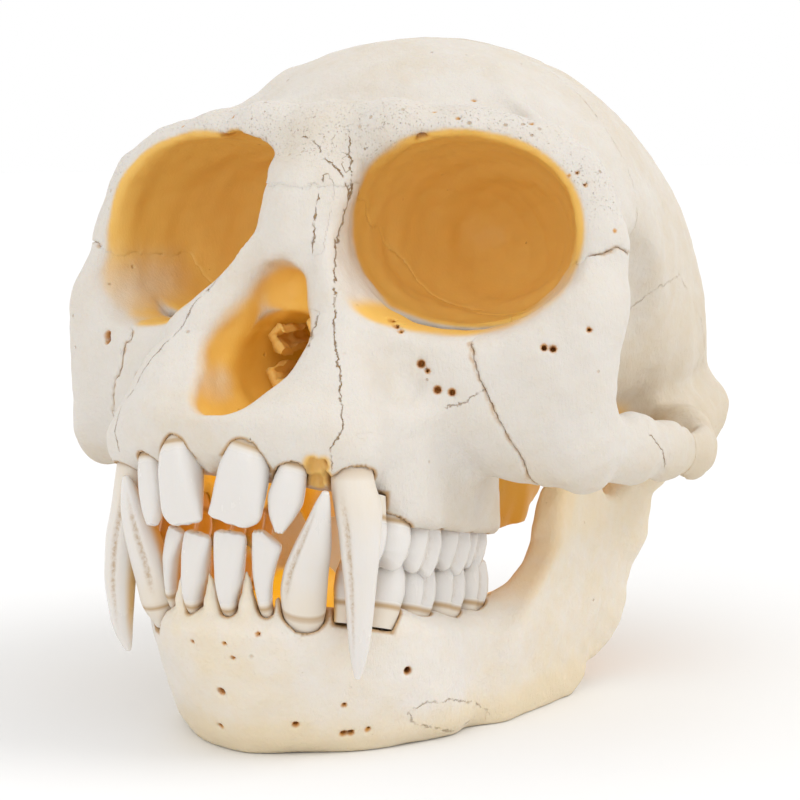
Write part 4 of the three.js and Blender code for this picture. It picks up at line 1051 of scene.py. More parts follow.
    seams: tuple[Seam, ...] = (
        Seam(((7.8, -11.7, 54.3), (9.6, -14.9, 51.0), (10.5, -16.8, 47.8), (13.7, -21.2, 42.4),
              (14.8, -22.8, 38.8), (13.9, -24.0, 36.5), (14.0, -23.9, 34.6)), (0.62, -0.75, 0.2)),
        Seam(((-7.8, -11.7, 54.3), (-9.6, -14.9, 51.0), (-10.5, -16.8, 47.8), (-13.7, -21.2, 42.4),
              (-14.6, -22.8, 38.8), (-14.0, -23.9, 34.6)), (-0.62, -0.75, 0.2), 0.6),
        Seam(((3.3, -6.0, 65.5), (3.5, -8.1, 63.0), (3.7, -9.3, 60.3), (4.0, -10.0, 57.4)), (0.3, -0.9, 0.3)),
        Seam(((4.6, -2.0, 70.6), (4.9, -2.6, 68.8), (5.8, -3.8, 64.2), (5.3, -4.8, 61.3), (6.2, -8.7, 58.0),
              (7.8, -11.7, 54.3)), (0.5, -0.85, 0.1)),
        Seam(((-0.6, -3.4, 70.4), (1.2, -3.9, 69.5), (2.9, -5.0, 67.7), (4.1, -4.8, 67.1), (5.4, -4.7, 65.6),
              (5.8, -4.3, 64.2)), (0.3, -0.95, 0.1)),
        Seam(((6.7, -16.3, 46.6), (7.0, -15.8, 48.2), (7.5, -15.2, 50.0)), (0.5, -0.85, 0.1)),
        Seam(((24.4, -7.3, 41.7), (22.6, -8.4, 40.4), (21.2, -9.4, 40.0)), (0.4, -0.9, 0.1), 0.5),
        Seam(((38.7, 8.2, 35.4), (38.8, 9.6, 34.2), (38.7, 10.9, 33.4), (38.4, 12.3, 31.5)), (1.0, 0.0, 0.0),
             0.9, True, 2.5),
        Seam(((0.0, 30.0, 80.0), (0.0, 46.0, 80.0), (0.0, 60.0, 74.0), (0.0, 72.0, 62.0)), (0.0, 0.35, 0.95),
             0.5, False, 9.0),
        Seam(((0.0, 30.0, 80.0), (8.0, 29.4, 79.0), (16.0, 28.4, 76.0), (23.0, 27.0, 71.0)),
             (0.35, 0.0, 0.95), 0.4, True, 7.0),
        Seam(((23.0, 27.0, 71.0), (28.0, 25.5, 63.0), (30.0, 23.0, 53.0)), (1.0, 0.0, 0.3), 0.2, True, 6.0),
        Seam(((0.0, 72.0, 62.0), (8.0, 70.5, 58.0), (15.0, 67.5, 52.0), (21.0, 63.0, 44.0),
              (24.0, 58.0, 38.0)), (0.3, 0.9, 0.35), 0.5, True, 8.0),
        Seam(((28.0, 27.0, 45.0), (29.0, 34.0, 51.0), (28.0, 43.0, 52.0), (26.0, 51.0, 46.0),
              (25.0, 57.0, 38.5)), (1.0, 0.0, 0.0), 0.22, True, 7.0))

    def tooth_wall(self, x: Array, y: Array, z: Array) -> Array:
        """Give the wall of the upper jaw that carries the teeth."""
        beneath = 26.4 - 0.19 * (np.maximum(y, -16.0) + 13.0)
        edge = fade((beneath, 35.4), (-14.5, -20.0), y)
        half = fade((4.1, 2.5), (-12.0, -20.0), y)
        return np.maximum(slab(self.tooth_arch.outside(x, y), z, half, edge, 40.0, 1.6), y - 8.8)

    def palate(self, x: Array, y: Array, z: Array) -> Array:
        """Give the hollow of the palate."""
        inside = self.tooth_arch.outside(x, y) + 3.2
        return np.maximum(np.maximum(inside, z - fade((35.5, 33.0), (-20.0, 6.0), y)), y - 40.0)

    def brain_space(self, x: Array, y: Array, z: Array) -> Array:
        """Give the space for the brain, open below and kept off the walls of the orbits."""
        clear = carve(self.brain.at(x, y, z), self.orbit_wall.at(x, y, z) - self.brain_clearance, 2.0)
        return np.minimum(self.foramen_magnum.at(x, y, z), clear)

    def one_side(self, clay: Clay) -> Array:
        """Shape the side at positive x, the same for both."""
        clay.add(self.vault)
        clay.add(self.forehead, 9.0)
        clay.add(self.neck_base, 6.0)
        for middle, radii, fillet in self.masses:
            clay.add(ball(middle, radii), fillet)
        clay.add(self.nuchal_crest, 5.0)
        clay.add(self.skull_floor, 5.0)
        clay.add(self.orbit_wall, 4.0)
        clay.add(self.septum, 3.0)
        clay.add(self.brow_ring, 4.0)
        clay.add(self.temple_line, 1.6)
        face = Clay(*clay.axes)
        face.add(self.snout)
        face.add(self.nose_side, 5.0)
        face.add(self.premaxilla, 4.0)
        face.add(self.cheek_root, 5.0)
        for middle, radii, fillet in self.face_masses:
            face.add(ball(middle, radii), fillet)
        face.add(self.lower_rim, 4.0)
        face.add(self.nose_bridge, 3.0)
        face.add(self.cheek, 4.0)
        clay.values = blend(clay.values, face.values, 3.0)
        clay.add(self.cheek_arch, 3.0)
        clay.add(self.arch_root, 5.0)
        clay.add(self.pterygoid, 1.5)
        clay.add(Wrought(self.tooth_wall, (0.0, -32.0, 18.0), (24.0, 12.0, 44.0)), 2.5)
        clay.cut(Wrought(self.palate, (0.0, -32.0, 10.0), (22.0, 42.0, 38.0)), 3.0)
        clay.cut(self.orbit, 1.6)
        clay.cut(self.nose_hole, 1.4)
        clay.cut(self.nose_pocket, 1.5)
        clay.cut(self.choana, 1.5)
        clay.cut(self.temple_hollow, 3.0)
        clay.cut(self.ear_hole, 1.0)
        clay.cut(Wrought(self.brain_space, (0.0, 10.0, 16.0), (30.0, 78.0, 80.0)), 2.0)
        return clay.values

    def wavering(self, x: Array, y: Array, z: Array) -> Array:
        """Give the wandering of an open suture."""
        return sum(ripple.at(x, y, z) for ripple in self.suture_waver)

    def cheek_region(self, x: Array, y: Array, z: Array) -> Array:
        """Give the signed distance to the cheekbone's sutures, below zero on the cheekbone."""
        side = np.abs(x)
        inner, top, end = self.arch_suture
        front = np.maximum(outline_distance(self.cheekbone_front, side, z), y - self.cheekbone_back)
        behind = np.maximum(np.maximum(inner - side, z - top), np.maximum(y - end, 12.0 - y))
        return np.minimum(front, behind)

    def face_region(self, x: Array, y: Array, z: Array) -> Array:
        """Give the signed distance to the face's sutures, below zero on the face."""
        jaw = outline_distance(self.upper_jaw_side, y, z)
        nose = np.maximum(outline_distance(self.nose_side_outline, y, z), np.abs(x) - self.nose_half_width)
        return np.minimum(jaw, nose)

    def apart(self, bone: "Bone") -> Callable[..., Array]:
        """Make the step that adds what differs from side to side and parts the bone at its sutures."""

        def work(values: Array, x: Array, y: Array, z: Array) -> Array:
            clay = Clay(x.ravel(), y.ravel(), z.ravel())
            clay.values = values + sum(ripple.at(x, y, z) for ripple in self.relief).astype(np.float32)
            for spike in self.spikes:
                clay.add(spike, 0.8)
            for gap in self.breaks:
                clay.cut(gap, 0.3)
            clay.cut(self.right_corner, 1.2)
            for socket in self.sockets:
                clay.cut(socket, 0.2)
            for pit in self.pits:
                clay.cut(pit.bore(), 0.35)
            return self.part(bone, clay.values, *np.broadcast_arrays(x, y, z)).astype(np.float32)

        return work

    def part(self, bone: "Bone", values: Array, x: Array, y: Array, z: Array) -> Array:
        """Part one bone from the rest: by a fine gap round the cheekbone, and grown together elsewhere."""
        cheek = self.cheek_gap(x, y, z)
        closed = smooth(*self.orbit_shut, self.orbit.at(np.abs(x), y, z))
        gap = fade(self.suture_gap, (-0.4, 0.0), values) * (1.0 - closed)
        if bone in (Bone.CHEEKBONE_LEFT, Bone.CHEEKBONE_RIGHT):
            return np.maximum(values + self.sunk * closed, cheek + gap)
        gap = gap - self.overlap * closed
        waver = self.wavering(x, y, z)
        face = self.face_region(x, y + waver, z + waver)
        if bone is Bone.FACE:
            values = np.maximum(values + self.sunk * smooth(-0.5, 0.1, face), face - self.overlap)
        else:
            values = np.maximum(values, -face)
        return np.maximum(values, gap - cheek)

    def masks(self, points: Array) -> dict[str, Array]:
        """Say how amber, creamy and porous the bone is at its points, and where shade and glow are painted
        in.
        """
        x, y, z = points.T.astype(float)
        side = np.abs(x)
        orbit = np.minimum(self.orbit.at(side, y, z), self.right_corner.at(x, y, z))
        depth = self.orbit.depth_at(side, y, z)
        medial = smooth(12.5, 9.0, side) * smooth(0.5, -2.5, y)
        in_orbit = smooth(1.0, 0.3, orbit) * smooth(-14.0, -11.0, depth) * (1.0 - 0.9 * medial)
        wing = smooth(22.0, 29.0, side) * smooth(60.0, 50.0, z) * smooth(13.0, 4.0, depth)
        nose = np.minimum(self.nose_hole.at(side, y, z), self.nose_pocket.at(side, y, z))
        inside = y - self.nose_front(z)
        in_nose = smooth(1.2, 0.3, nose) * smooth(-0.6, 0.6, inside) * (0.4 + 0.6 * smooth(0.8, 3.4, inside))
        floor = smooth(46.0, 42.5, z) * smooth(-3.5, -5.5, x) * smooth(-12.0, -15.0, y)
        in_mouth = smooth(0.8, 0.0, self.palate(side, y, z)) * smooth(37.5, 35.0, z)
        in_brain = smooth(1.0, 0.3, self.brain.at(side, y, z))
        # The hollow behind the upper jaw, inside the cheek arch, where shade falls: painted amber and a
        # little glow.
        recess = smooth(9.5, 12.5, y) * smooth(48.0, 40.0, z) * smooth(24.5, 21.5, side)
        recess = recess * smooth(46.0, 34.0, y)
        wound = np.minimum.reduce([gap.at(x, y, z) for gap in self.breaks])
        wounded = smooth(0.9, 0.1, wound)
        # Where the painted glow and the darker orange go: deeper in the nose, in the mouth, and a little in
        # that hollow.
        hot = np.maximum.reduce([0.12 * in_nose * smooth(2.0, 6.0, inside), in_mouth, 0.2 * recess])
        # Amber in the orbits, nose, mouth, braincase, that hollow and the broken bone: partly the thin bone's
        # own tone, partly painted shade.
        amber_and_shade = np.maximum.reduce([
            in_orbit * (1.0 - 0.62 * wing), in_nose * (1.0 - 0.55 * floor), in_mouth, 0.8 * in_brain,
            0.9 * recess, 0.8 * wounded])
        cream = 0.16 + 0.30 * smooth(8.0, 40.0, y) + 0.25 * smooth(60.0, 36.0, z) * smooth(6.0, 20.0, y)
        cream = cream + 0.30 * smooth(36.0, 29.0, z) * smooth(-14.0, 0.0, y) + 0.12 * smooth(12.0, 2.0, side)
        brow = smooth(66.0, 69.5, z) * smooth(9.5, 5.0, y) * smooth(34.0, 24.0, side) * smooth(77.0, 73.0, z)
        rim = smooth(58.0, 63.0, z) * smooth(28.0, 31.0, side) * smooth(10.0, 7.0, y) * 0.75
        masks = {
            # Deeper in the orbits the amber is painted brighter, as painted light against the shade there.
            "amber_and_shade": amber_and_shade, "deep": smooth(0.0, 20.0, depth) * in_orbit, "hot": hot, "cream": cream,
            "pores": np.maximum(brow, rim) * (1.0 - in_orbit),
            "gap": np.abs(self.cheek_gap(x, y, z)) + 2.0 * smooth(1.4, 0.6, orbit),
            "pit": pit_mask(self.pits, x, y, z), "rim": socket_mask(self.sockets, x, y, z),
        }
        masks.update(seam_masks(self.seams, x, y, z))
        return masks

    def cheek_gap(self, x: Array, y: Array, z: Array) -> Array:
        """Give the signed distance to the cheekbone's wandering sutures."""
        waver = self.wavering(x, y, z)
        return self.cheek_region(x + waver, y + 0.5 * waver, z - waver)

    @staticmethod
    def nose_front(z: Array) -> Array:
        """Give how far forwards the edge of the nose opening lies at each height."""
        return np.interp(z, (40.0, 45.0, 50.0, 55.0), (-26.5, -19.5, -14.5, -10.5))


class Bone(Enum):
    """The bones that are separate pieces, each with the name of its CAD node."""

    BRAINCASE = "braincase"
    FACE = "face"
    CHEEKBONE_LEFT = "cheekbone_left"
    CHEEKBONE_RIGHT = "cheekbone_right"
    MANDIBLE = "mandible"


@dataclass
class BonePlan:
    """Where a bone lies, how finely it is sculpted, and how many triangles it keeps."""

    bone: Bone
    low: Point
    high: Point
    step: float
    triangles: int


# The lower jaw


@dataclass
class LowerJaw:
    """The mandible: a horseshoe body, flat underneath where it rests, with an upright ramus on each side."""

    arch: DentalArch = DentalArch(14.3, -5.0, 17.8, 2.0, -1.0)
    base_arch: DentalArch = DentalArch(15.8, -2.0, 16.6, 1.55, -0.6)
    top: Corner = (17.8, 13.9)
    half: Corner = (4.0, 4.3)
    rounding: float = 3.0
    body_back: float = 24.5
    ramus_edge: float = 1.4
    angle: Egg = ball((0.0, 25.5, 10.5), (100.0, 10.2, 9.4))
    notch: Egg = ball((0.0, 31.0, 31.5), (100.0, 5.2, 6.5))
    coronoid: Egg = ball((0.0, 22.5, 27.0), (100.0, 5.0, 11.0))
    condyle: Rod = Rod(((19.0, 40.0, 26.6, 2.4), (25.6, 39.2, 26.9, 2.4)), 2.0)
    neck: Rod = Rod(((22.6, 39.2, 25.5, 2.3), (22.2, 37.4, 19.0, 2.4)), 2.0)
    relief: tuple[Ripple, ...] = (Ripple(8.0, 0.15, 21), Ripple(3.0, 0.05, 22))
    sockets: tuple[Wrought, ...] = ()
    spikes: tuple[Rod, ...] = (
        Rod(((-0.9, -23.9, 15.6, 1.8), (-1.1, -24.9, 18.4, 1.0), (-1.2, -25.3, 21.6, 0.22)), 0.5),
        Rod(((3.2, -23.7, 15.6, 1.8), (3.3, -24.6, 18.4, 1.0), (3.5, -25.0, 22.2, 0.22)), 0.5),
        Rod(((-5.6, -22.9, 15.6, 1.6), (-5.7, -23.9, 18.2, 0.9), (-5.6, -24.4, 21.0, 0.22)), 0.5),
        Rod(((6.8, -22.4, 15.6, 1.5), (6.6, -23.4, 19.0, 0.4)), 0.5))
    pits: tuple[Pit, ...] = (
        *pits_at(((-0.9, -24.0, 7.9),), (0.05, 0.93, 0.3), 0.56),
        *pits_at(((6.6, -20.1, 4.0), (10.7, -16.4, 2.6), (11.4, -15.8, 2.6)), (-0.5, 0.8, 0.3), 0.44),
        *pits_at(((-2.4, -21.7, 3.2), (11.5, -17.5, 6.2), (12.8, -14.4, 2.8)), (-0.4, 0.85, 0.3), 0.34),
        *pits_at(((1.2, -26.5, 14.1), (-3.4, -26.0, 13.8), (5.2, -25.7, 15.4), (1.8, -25.8, 12.4)),
                 (0.0, 1.0, 0.1), 0.27),
        *pits_at(((16.4, -11.5, 9.6), (-16.4, -11.5, 9.6)), (-0.6, 0.75, 0.0), 0.5))
    patch: tuple[Point, ...] = (
        (16.2, -10.7, 4.4), (17.4, -8.8, 5.3), (18.5, -4.8, 5.0), (18.8, 1.2, 3.4), (19.3, 3.4, 1.8),
        (18.6, 0.0, 1.2), (17.8, -2.9, 0.9), (17.2, -7.4, 2.0), (16.3, -9.9, 3.1), (16.2, -10.7, 4.4))

    def plan_at(self, z: Array) -> DentalArch:
        """Give the horseshoe that the body follows at each height."""
        return self.base_arch.mixed(self.arch, np.clip((z - 1.0) / 14.0, 0.0, 1.0))

    @staticmethod
    def behind_front(y: Array, z: Array) -> Array:
        """Give how far points lie behind the front edge of the ramus."""
        return y - fade((5.5, 16.2), (9.0, 22.0), z)

    def body(self, x: Array, y: Array, z: Array) -> Array:
        """Give the horseshoe body."""
        plan = self.plan_at(z)
        half = fade(self.half, (-22.0, -12.0), y) - 1.3 * smooth(14.0, 0.0, z)
        top = fade(self.top, (-22.0, 6.0), y)
        return np.maximum(slab(plan.outside(x, y), z, half, -0.35, top, self.rounding), y - self.body_back)

    def ramus(self, x: Array, y: Array, z: Array) -> Array:
        """Give the upright plate behind the teeth."""
        front = self.behind_front(y, z)
        back = fade((30.5, 41.6), (-3.0, 23.0), z) - y
        outline = np.maximum(np.maximum(-front, -back), z - 27.0)
        outline = blend(outline, self.coronoid.at(0.0, y, z), 4.0)
        outline = carve(outline, self.notch.at(0.0, y, z), 3.0)
        outline = blend(outline, self.angle.at(0.0, y, z), 5.0)
        outline = carve(outline, z - fade((-1.3, 3.0), (20.5, 29.5), y), 3.0)
        across = np.abs(x - 19.9 - 0.2 * np.minimum(z - 10.0, 0.0) - 0.13 * np.maximum(z - 10.0, 0.0)
                        - 0.05 * (y - 20.0)) - fade((2.6, 1.9), (8.0, 30.0), z)
        edge = self.ramus_edge
        corner = np.sqrt(np.maximum(outline + edge, 0.0) ** 2 + np.maximum(across + edge, 0.0) ** 2)
        return corner + np.minimum(np.maximum(outline, across) + edge, 0.0) - edge

    def one_side(self, clay: Clay) -> Array:
        """Shape the side at positive x, the same for both."""
        clay.add(Wrought(self.body, (0.0, -30.0, -2.0), (32.0, 28.0, 22.0)))
        clay.add(Wrought(self.ramus, (12.0, 0.0, -2.0), (32.0, 46.0, 42.0)), 5.0)
        clay.add(self.neck, 3.0)
        clay.add(self.condyle, 2.0)
        return clay.values

    def apart(self, values: Array, x: Array, y: Array, z: Array) -> Array:
        """Add what differs from side to side, and lay the lower border on the table."""
        clay = Clay(x.ravel(), y.ravel(), z.ravel())
        clay.values = values + sum(ripple.at(x, y, z) for ripple in self.relief).astype(np.float32)
        for spike in self.spikes:
            clay.add(spike, 0.7)
        for socket in self.sockets:
            clay.cut(socket, 0.25)
        for pit in self.pits:
            clay.cut(pit.bore(), 0.35)
        return np.maximum(clay.values, 0.02 - z).astype(np.float32)

    def masks(self, points: Array) -> dict[str, Array]:
        """Say how amber, creamy and porous the bone is at its points, with painted shade and glow on its
        inner faces.
        """
        x, y, z = points.T.astype(float)
        side = np.abs(x)
        plan = self.plan_at(z)
        inner = smooth(0.2, -1.2, plan.outside(side, y)) * smooth(30.0, 20.0, y) * smooth(1.5, 4.0, z)
        front = self.behind_front(y, z)
        strip = smooth(4.2, 2.6, front) * smooth(12.0, 16.0, z) * smooth(6.0, 9.0, y)
        inner_side = smooth(20.2, 19.2, side - 0.13 * (z - 10.0)) * smooth(6.0, 12.0, y)
        ramus_inner = np.maximum(inner_side, strip * smooth(22.4, 21.4, side - 0.13 * (z - 10.0)))
        chin = smooth(11.5, 9.0, side) * smooth(-14.0, -17.0, y)
        upper = smooth(8.0, 11.0, z) * smooth(17.5, 15.5, z)
        lower = smooth(4.5, 2.5, z) * smooth(1.5, 5.0, x) * smooth(10.0, 7.0, x)
        cream = 0.26 + 0.30 * smooth(-5.0, 20.0, y) + 0.55 * smooth(6.0, 1.0, z) + 0.2 * smooth(16.0, 24.0, z)
        cream = cream + 0.25 * smooth(10.0, 6.0, side) * smooth(-14.0, -18.0, y)
        # The inner faces of the body and ramus, where shade falls, are painted amber as shade; the inner body
        # also gets the brighter amber and the painted glow.
        return {
            "amber_and_shade": np.maximum(inner, 0.35 * ramus_inner), "deep": 0.5 * inner, "cream": cream,
            "hot": inner, "pores": 0.3 * chin * np.maximum(upper, 0.7 * lower), "gap": np.full(len(x), AWAY),
            "pit": pit_mask(self.pits, x, y, z), "rim": socket_mask(self.sockets, x, y, z),
            **seam_masks((Seam(self.patch, (1.0, -0.3, -0.1), 0.4),), x, y, z),
        }


# Teeth


Section = tuple[float, float, float, float, float]


class ToothKind(Enum):
    """The kinds of tooth: how square their sections are, and how far their end is rounded over."""

    INCISOR = (0.78, 0.16)
    TUSK = (0.95, 0.25)
    PREMOLAR = (0.86, 0.45)
    MOLAR = (0.80, 0.50)


@dataclass(frozen=True)
class Tooth:
    """One tooth, lofted from its root inside the bone to its cutting edge, tip or cusps.

    Each section is (x, y, z, half its width, half its depth); the third one lies at the edge of the bone.
    """

    kind: ToothKind
    out: Point
    sections: tuple[Section, ...]
    lobes: float = 0.0
    neck: int = 2
    around: int = 48
    along: int = 44
    easing: float = 0.035
    lobe_width: float = 0.3
    groove_turn: float = 0.6
    groove_width: float = 0.16
    groove_depth: float = 0.14

    def directions(self) -> tuple[Array, Array, Array, float]:
        """Give the tooth's long axis, its sideways and outward directions, and its length."""
        rows = np.array(self.sections)[:, :3]
        axis = rows[-1] - rows[0]
        length = float(np.linalg.norm(axis))
        axis = axis / length
        across = np.cross(self.out, axis)
        across /= np.linalg.norm(across)
        return axis, across, np.cross(axis, across), length

    def places(self) -> Array:
        """Give where each section lies along the tooth, from 0 to 1."""
        rows = np.array(self.sections)[:, :3]
        way = rows[-1] - rows[0]
        return (rows - rows[0]) @ way / (way @ way)

    def section(self, t: Array) -> tuple[Array, ...]:
        """Give the middle and the halves of the section at places along the tooth, with its bends eased."""
        given = self.places()
        return tuple(sum(np.interp(t + d, given, column) for d in (-self.easing, 0.0, self.easing)) / 3.0
                     for column in np.array(self.sections).T)

    def mirrored(self) -> "Tooth":
        """Give the same tooth on the other side."""
        rows = tuple((-x, y, z, wide, deep) for x, y, z, wide, deep in self.sections)
        return Tooth(self.kind, (-self.out[0], self.out[1], self.out[2]), rows, self.lobes, self.neck)

    def socket(self, spare: float = 0.13, beyond: float = 1.8) -> Wrought:
        """Give the socket the tooth sits in, a little larger than its root."""
        axis, across, out, length = self.directions()
        rows = np.array(self.sections)
        first = rows[0, :3]
        last = self.places()[self.neck] + beyond / length

        def work(x: Array, y: Array, z: Array) -> Array:
            t = ((x - first[0]) * axis[0] + (y - first[1]) * axis[1] + (z - first[2]) * axis[2]) / length
            mx, my, mz, wide, deep = self.section(t)
            dx, dy, dz = x - mx, y - my, z - mz
            u = (dx * across[0] + dy * across[1] + dz * across[2]) / (wide + spare)
            v = (dx * out[0] + dy * out[1] + dz * out[2]) / (deep + spare)
            d = (np.sqrt(u * u + v * v) - 1.0) * (np.minimum(wide, deep) + spare)
            return np.maximum(np.maximum(d, -t * length - spare), (t - last) * length)

        return Wrought(work, *box_of(rows[: self.neck + 2], rows[:, 3:].max() + 0.6))

    def surface(self) -> tuple[Array, Array, dict[str, Array]]:
        """Loft the tooth.

        Returns:
            Its points, its faces and the masks of its points.
        """
        axis, across, out, length = self.directions()
        neck = self.places()[self.neck]
        square, rounded = self.kind.value
        angle = np.linspace(0.0, 2.0 * math.pi, self.around, endpoint=False)
        cu = np.sign(np.cos(angle)) * np.abs(np.cos(angle)) ** square
        cv = np.sign(np.sin(angle)) * np.abs(np.sin(angle)) ** square
        caps = np.array((0.97, 0.90, 0.79, 0.64, 0.46, 0.26, 0.1))
        t = np.concatenate((np.linspace(0.0, 1.0, self.along), np.ones(len(caps))))[:, None]
        shrink = np.concatenate((np.ones(self.along), caps))[:, None]
        crown = (t - neck) / (1.0 - neck)
        mx, my, mz, wide, deep = self.section(t)
        pinch = 1.0 - self.lobes * np.exp(-((cu / self.lobe_width) ** 2)) * smooth(-0.3, 0.3, crown)
        u, v = cu * shrink, cv * shrink * pinch
        grooved = np.zeros_like(u)
        if self.kind is ToothKind.TUSK:
            inward = -math.copysign(1.0, across[0] * self.sections[0][0])
            turn = self.groove_turn
            facing = inward * np.cos(angle) * math.cos(turn) + np.sin(angle) * math.sin(turn)
            apart = np.arccos(np.clip(facing, -1, 1)) / self.groove_width
            grooved = np.exp(-(apart**2)) * smooth(0.05, 0.3, crown) * smooth(0.95, 0.6, crown)
            u, v = u * (1.0 - self.groove_depth * grooved), v * (1.0 - self.groove_depth * grooved)
        rise = rounded * np.sqrt(1.0 - shrink**2) * np.ones_like(u)
        top = smooth(0.7, 1.0, crown)
        if self.kind is ToothKind.MOLAR:
            rise = rise + top * (-0.45 * np.cos(2.0 * math.pi * u) - 0.25 * np.cos(4.2 * v)
                                 - 0.3 * (u * u + v * v))
        elif self.kind is ToothKind.PREMOLAR:
            rise = rise + top * (0.4 * np.cos(math.pi * u) - 0.25 * np.cos(4.2 * v) - 0.3 * (u * u + v * v))
        elif self.kind is ToothKind.INCISOR:
            rise = rise + top * (0.05 * np.cos(3.0 * math.pi * u) - 0.15 * np.abs(u) ** 3)
        middle = np.stack((mx, my, mz), -1) + rise[..., None] * axis
        rows = middle + (u * wide)[..., None] * across + (v * deep)[..., None] * out
        between = 0.35 * (self.lobes > 0) * np.exp(-((cu / 0.13) ** 2)) * smooth(0.0, 0.3, crown)
        masks = {
            "root": self.rooted(crown) * np.ones_like(u),
            "groove": np.maximum(grooved, between),
            # A dark line at the neck where the tooth leaves the bone: partly stain, partly painted shade in
            # the gap; the inner side below the edge is painted amber as shade.
            "gum": smooth(0.5, 0.05, np.abs(t - neck) * length) * np.ones_like(u),
            "inner": smooth(-0.1, -0.7, v) * smooth(1.0, 0.75, crown),
        }
        quads = self.skin_of(len(t))
        ends = np.stack((rows[0].mean(0), rows[-1].mean(0)))
        points = np.concatenate((rows.reshape(-1, 3), ends))
        if np.dot(np.cross(across, out), axis) < 0:
            quads = quads[:, ::-1]
        return points, quads, {k: np.append(m.ravel(), (m[0, 0], m[-1].mean())) for k, m in masks.items()}

    def rooted(self, crown: Array) -> Array:
        """Say how creamy the tooth is along its crown."""
        if self.kind is ToothKind.TUSK:
            return 0.32 + 0.4 * smooth(0.42, 0.05, crown) - 0.3 * smooth(0.6, 1.0, crown)
        return 0.12 + 0.75 * smooth(0.14, 0.0, crown)

    def skin_of(self, rings: int) -> Array:
        """Give the faces between the rings of points, with the two ends closed round a middle point each."""
        ring = np.arange(self.around)
        after = (ring + 1) % self.around
        faces = [np.stack((k + ring, k + after, k + self.around + after, k + self.around + ring), 1)
                 for k in range(0, (rings - 1) * self.around, self.around)]
        first, last = rings * self.around, rings * self.around + 1
        base = (rings - 1) * self.around
        faces.append(np.stack((after, ring, np.full(self.around, first), np.full(self.around, first)), 1))
        faces.append(np.stack((base + ring, base + after, *[np.full(self.around, last)] * 2), 1))
        return np.concatenate(faces)


@dataclass(frozen=True)
class ToothRow:
    """The teeth of one jaw: the front ones each on its own, the cheek teeth alike on both sides."""

    name: str
    node: Bone
    front: tuple[Tooth, ...]
    cheek: tuple[Tooth, ...]

    def all(self) -> list[Tooth]:
        """Give the teeth of both sides."""
        return [*self.front, *self.cheek, *[tooth.mirrored() for tooth in self.cheek]]

    def sockets(self) -> tuple[Wrought, ...]:
        """Give the sockets for every tooth."""
        return tuple(tooth.socket() for tooth in self.all())

    def build(self, finish: EnamelFinish) -> Piece:
        """Make the row as one piece."""
        points, faces, masks, count = [], [], [], 0
        for tooth in self.all():
            own, quads, mask = tooth.surface()
            points.append(own)
            faces.append(quads + count)
            masks.append(mask)
            count += len(own)
        piece = Piece(self.name, np.concatenate(points), np.concatenate(faces))
        piece.paint({k: np.concatenate([m[k] for m in masks]) for k in masks[0]})
        piece.dress(finish.material(), "teeth", [self.node.value])
        return piece


def incisor(out: Point, *sections: Section) -> Tooth:
    """Make a front tooth."""
    return Tooth(ToothKind.INCISOR, out, sections)


def tusk(out: Point, *sections: Section) -> Tooth:
    """Make a canine."""
    return Tooth(ToothKind.TUSK, out, sections)


def cheek_tooth(middle: Corner, heights: Corner, half: float, deep: float, lean: float,
                lobes: float = 0.0) -> Tooth:
    """Make a cheek tooth.

    Args:
        middle: Its x and y.
        heights: The heights of its neck and of its edge.
        half: Half its length along the row.
        deep: Half its depth from cheek to tongue.
        lean: How much further forwards its edge lies than its neck.
        lobes: How deep the groove between its two lobes is, as a share; 0 makes a premolar.
    """
    neck, edge = heights
    shares = ((-0.5, 0.78, 0.72), (-0.18, 0.84, 0.82), (0.0, 0.88, 0.88), (0.35, 1.0, 1.0),
              (0.72, 0.99, 0.94), (1.0, 0.88, 0.76))
    x, y = middle
    sections = tuple((x, y + lean * (0.5 - t), neck + (edge - neck) * t, half * wide, deep * thick)
                     for t, wide, thick in shares)
    return Tooth(ToothKind.MOLAR if lobes else ToothKind.PREMOLAR, (1.0, 0.0, 0.0), sections, lobes)


# Growing things with geometry nodes


class GrowthTree:
    """A geometry node tree with named inputs that a modifier fills in."""

    def __init__(self, name: str, inputs: dict[str, str]) -> None:
        """Start the tree.

        Args:
            name: The tree's name.
            inputs: The type of each input's socket, by its name.
        """
        self.tree = bpy.data.node_groups.new(name, "GeometryNodeTree")
        self.tree.interface.new_socket("Geometry", in_out="INPUT", socket_type="NodeSocketGeometry")
        for label, kind in inputs.items():
            self.tree.interface.new_socket(label, in_out="INPUT", socket_type=kind)
        self.tree.interface.new_socket("Geometry", in_out="OUTPUT", socket_type="NodeSocketGeometry")
        self.given = self.tree.nodes.new("NodeGroupInput").outputs

    def node(self, kind: str, settings: Settings = None, **values: Any) -> bpy.types.Node:
        """Make a node: settings first, then socket values and links."""
        made = self.tree.nodes.new(kind)
        for key, value in (settings or {}).items():
            setattr(made, key, value)
        for key, value in values.items():
            socket = socket_of(made, key)
            if isinstance(value, bpy.types.NodeSocket):
                self.tree.links.new(value, socket)
            else:
                socket.default_value = value
        return made

    def end(self, geometry: bpy.types.NodeSocket) -> None:
        """Realize the instances, set the material and give the geometry out."""
        real = self.node("GeometryNodeRealizeInstances", Geometry=geometry)
        dressed = self.node("GeometryNodeSetMaterial", Geometry=real.outputs[0],
                            Material=self.given["Material"])
        out = self.tree.nodes.new("NodeGroupOutput")
        self.tree.links.new(dressed.outputs[0], out.inputs[0])

    def grow(self, piece: Piece, values: dict[str, Any]) -> None:
        """Run the tree on a piece and keep what it grows."""
        tool = piece.item.modifiers.new(self.tree.name, "NODES")
        tool.node_group = self.tree
        for entry in self.tree.interface.items_tree:
            if entry.in_out == "INPUT" and entry.name in values:
                tool[entry.identifier] = values[entry.name]
        piece.apply()


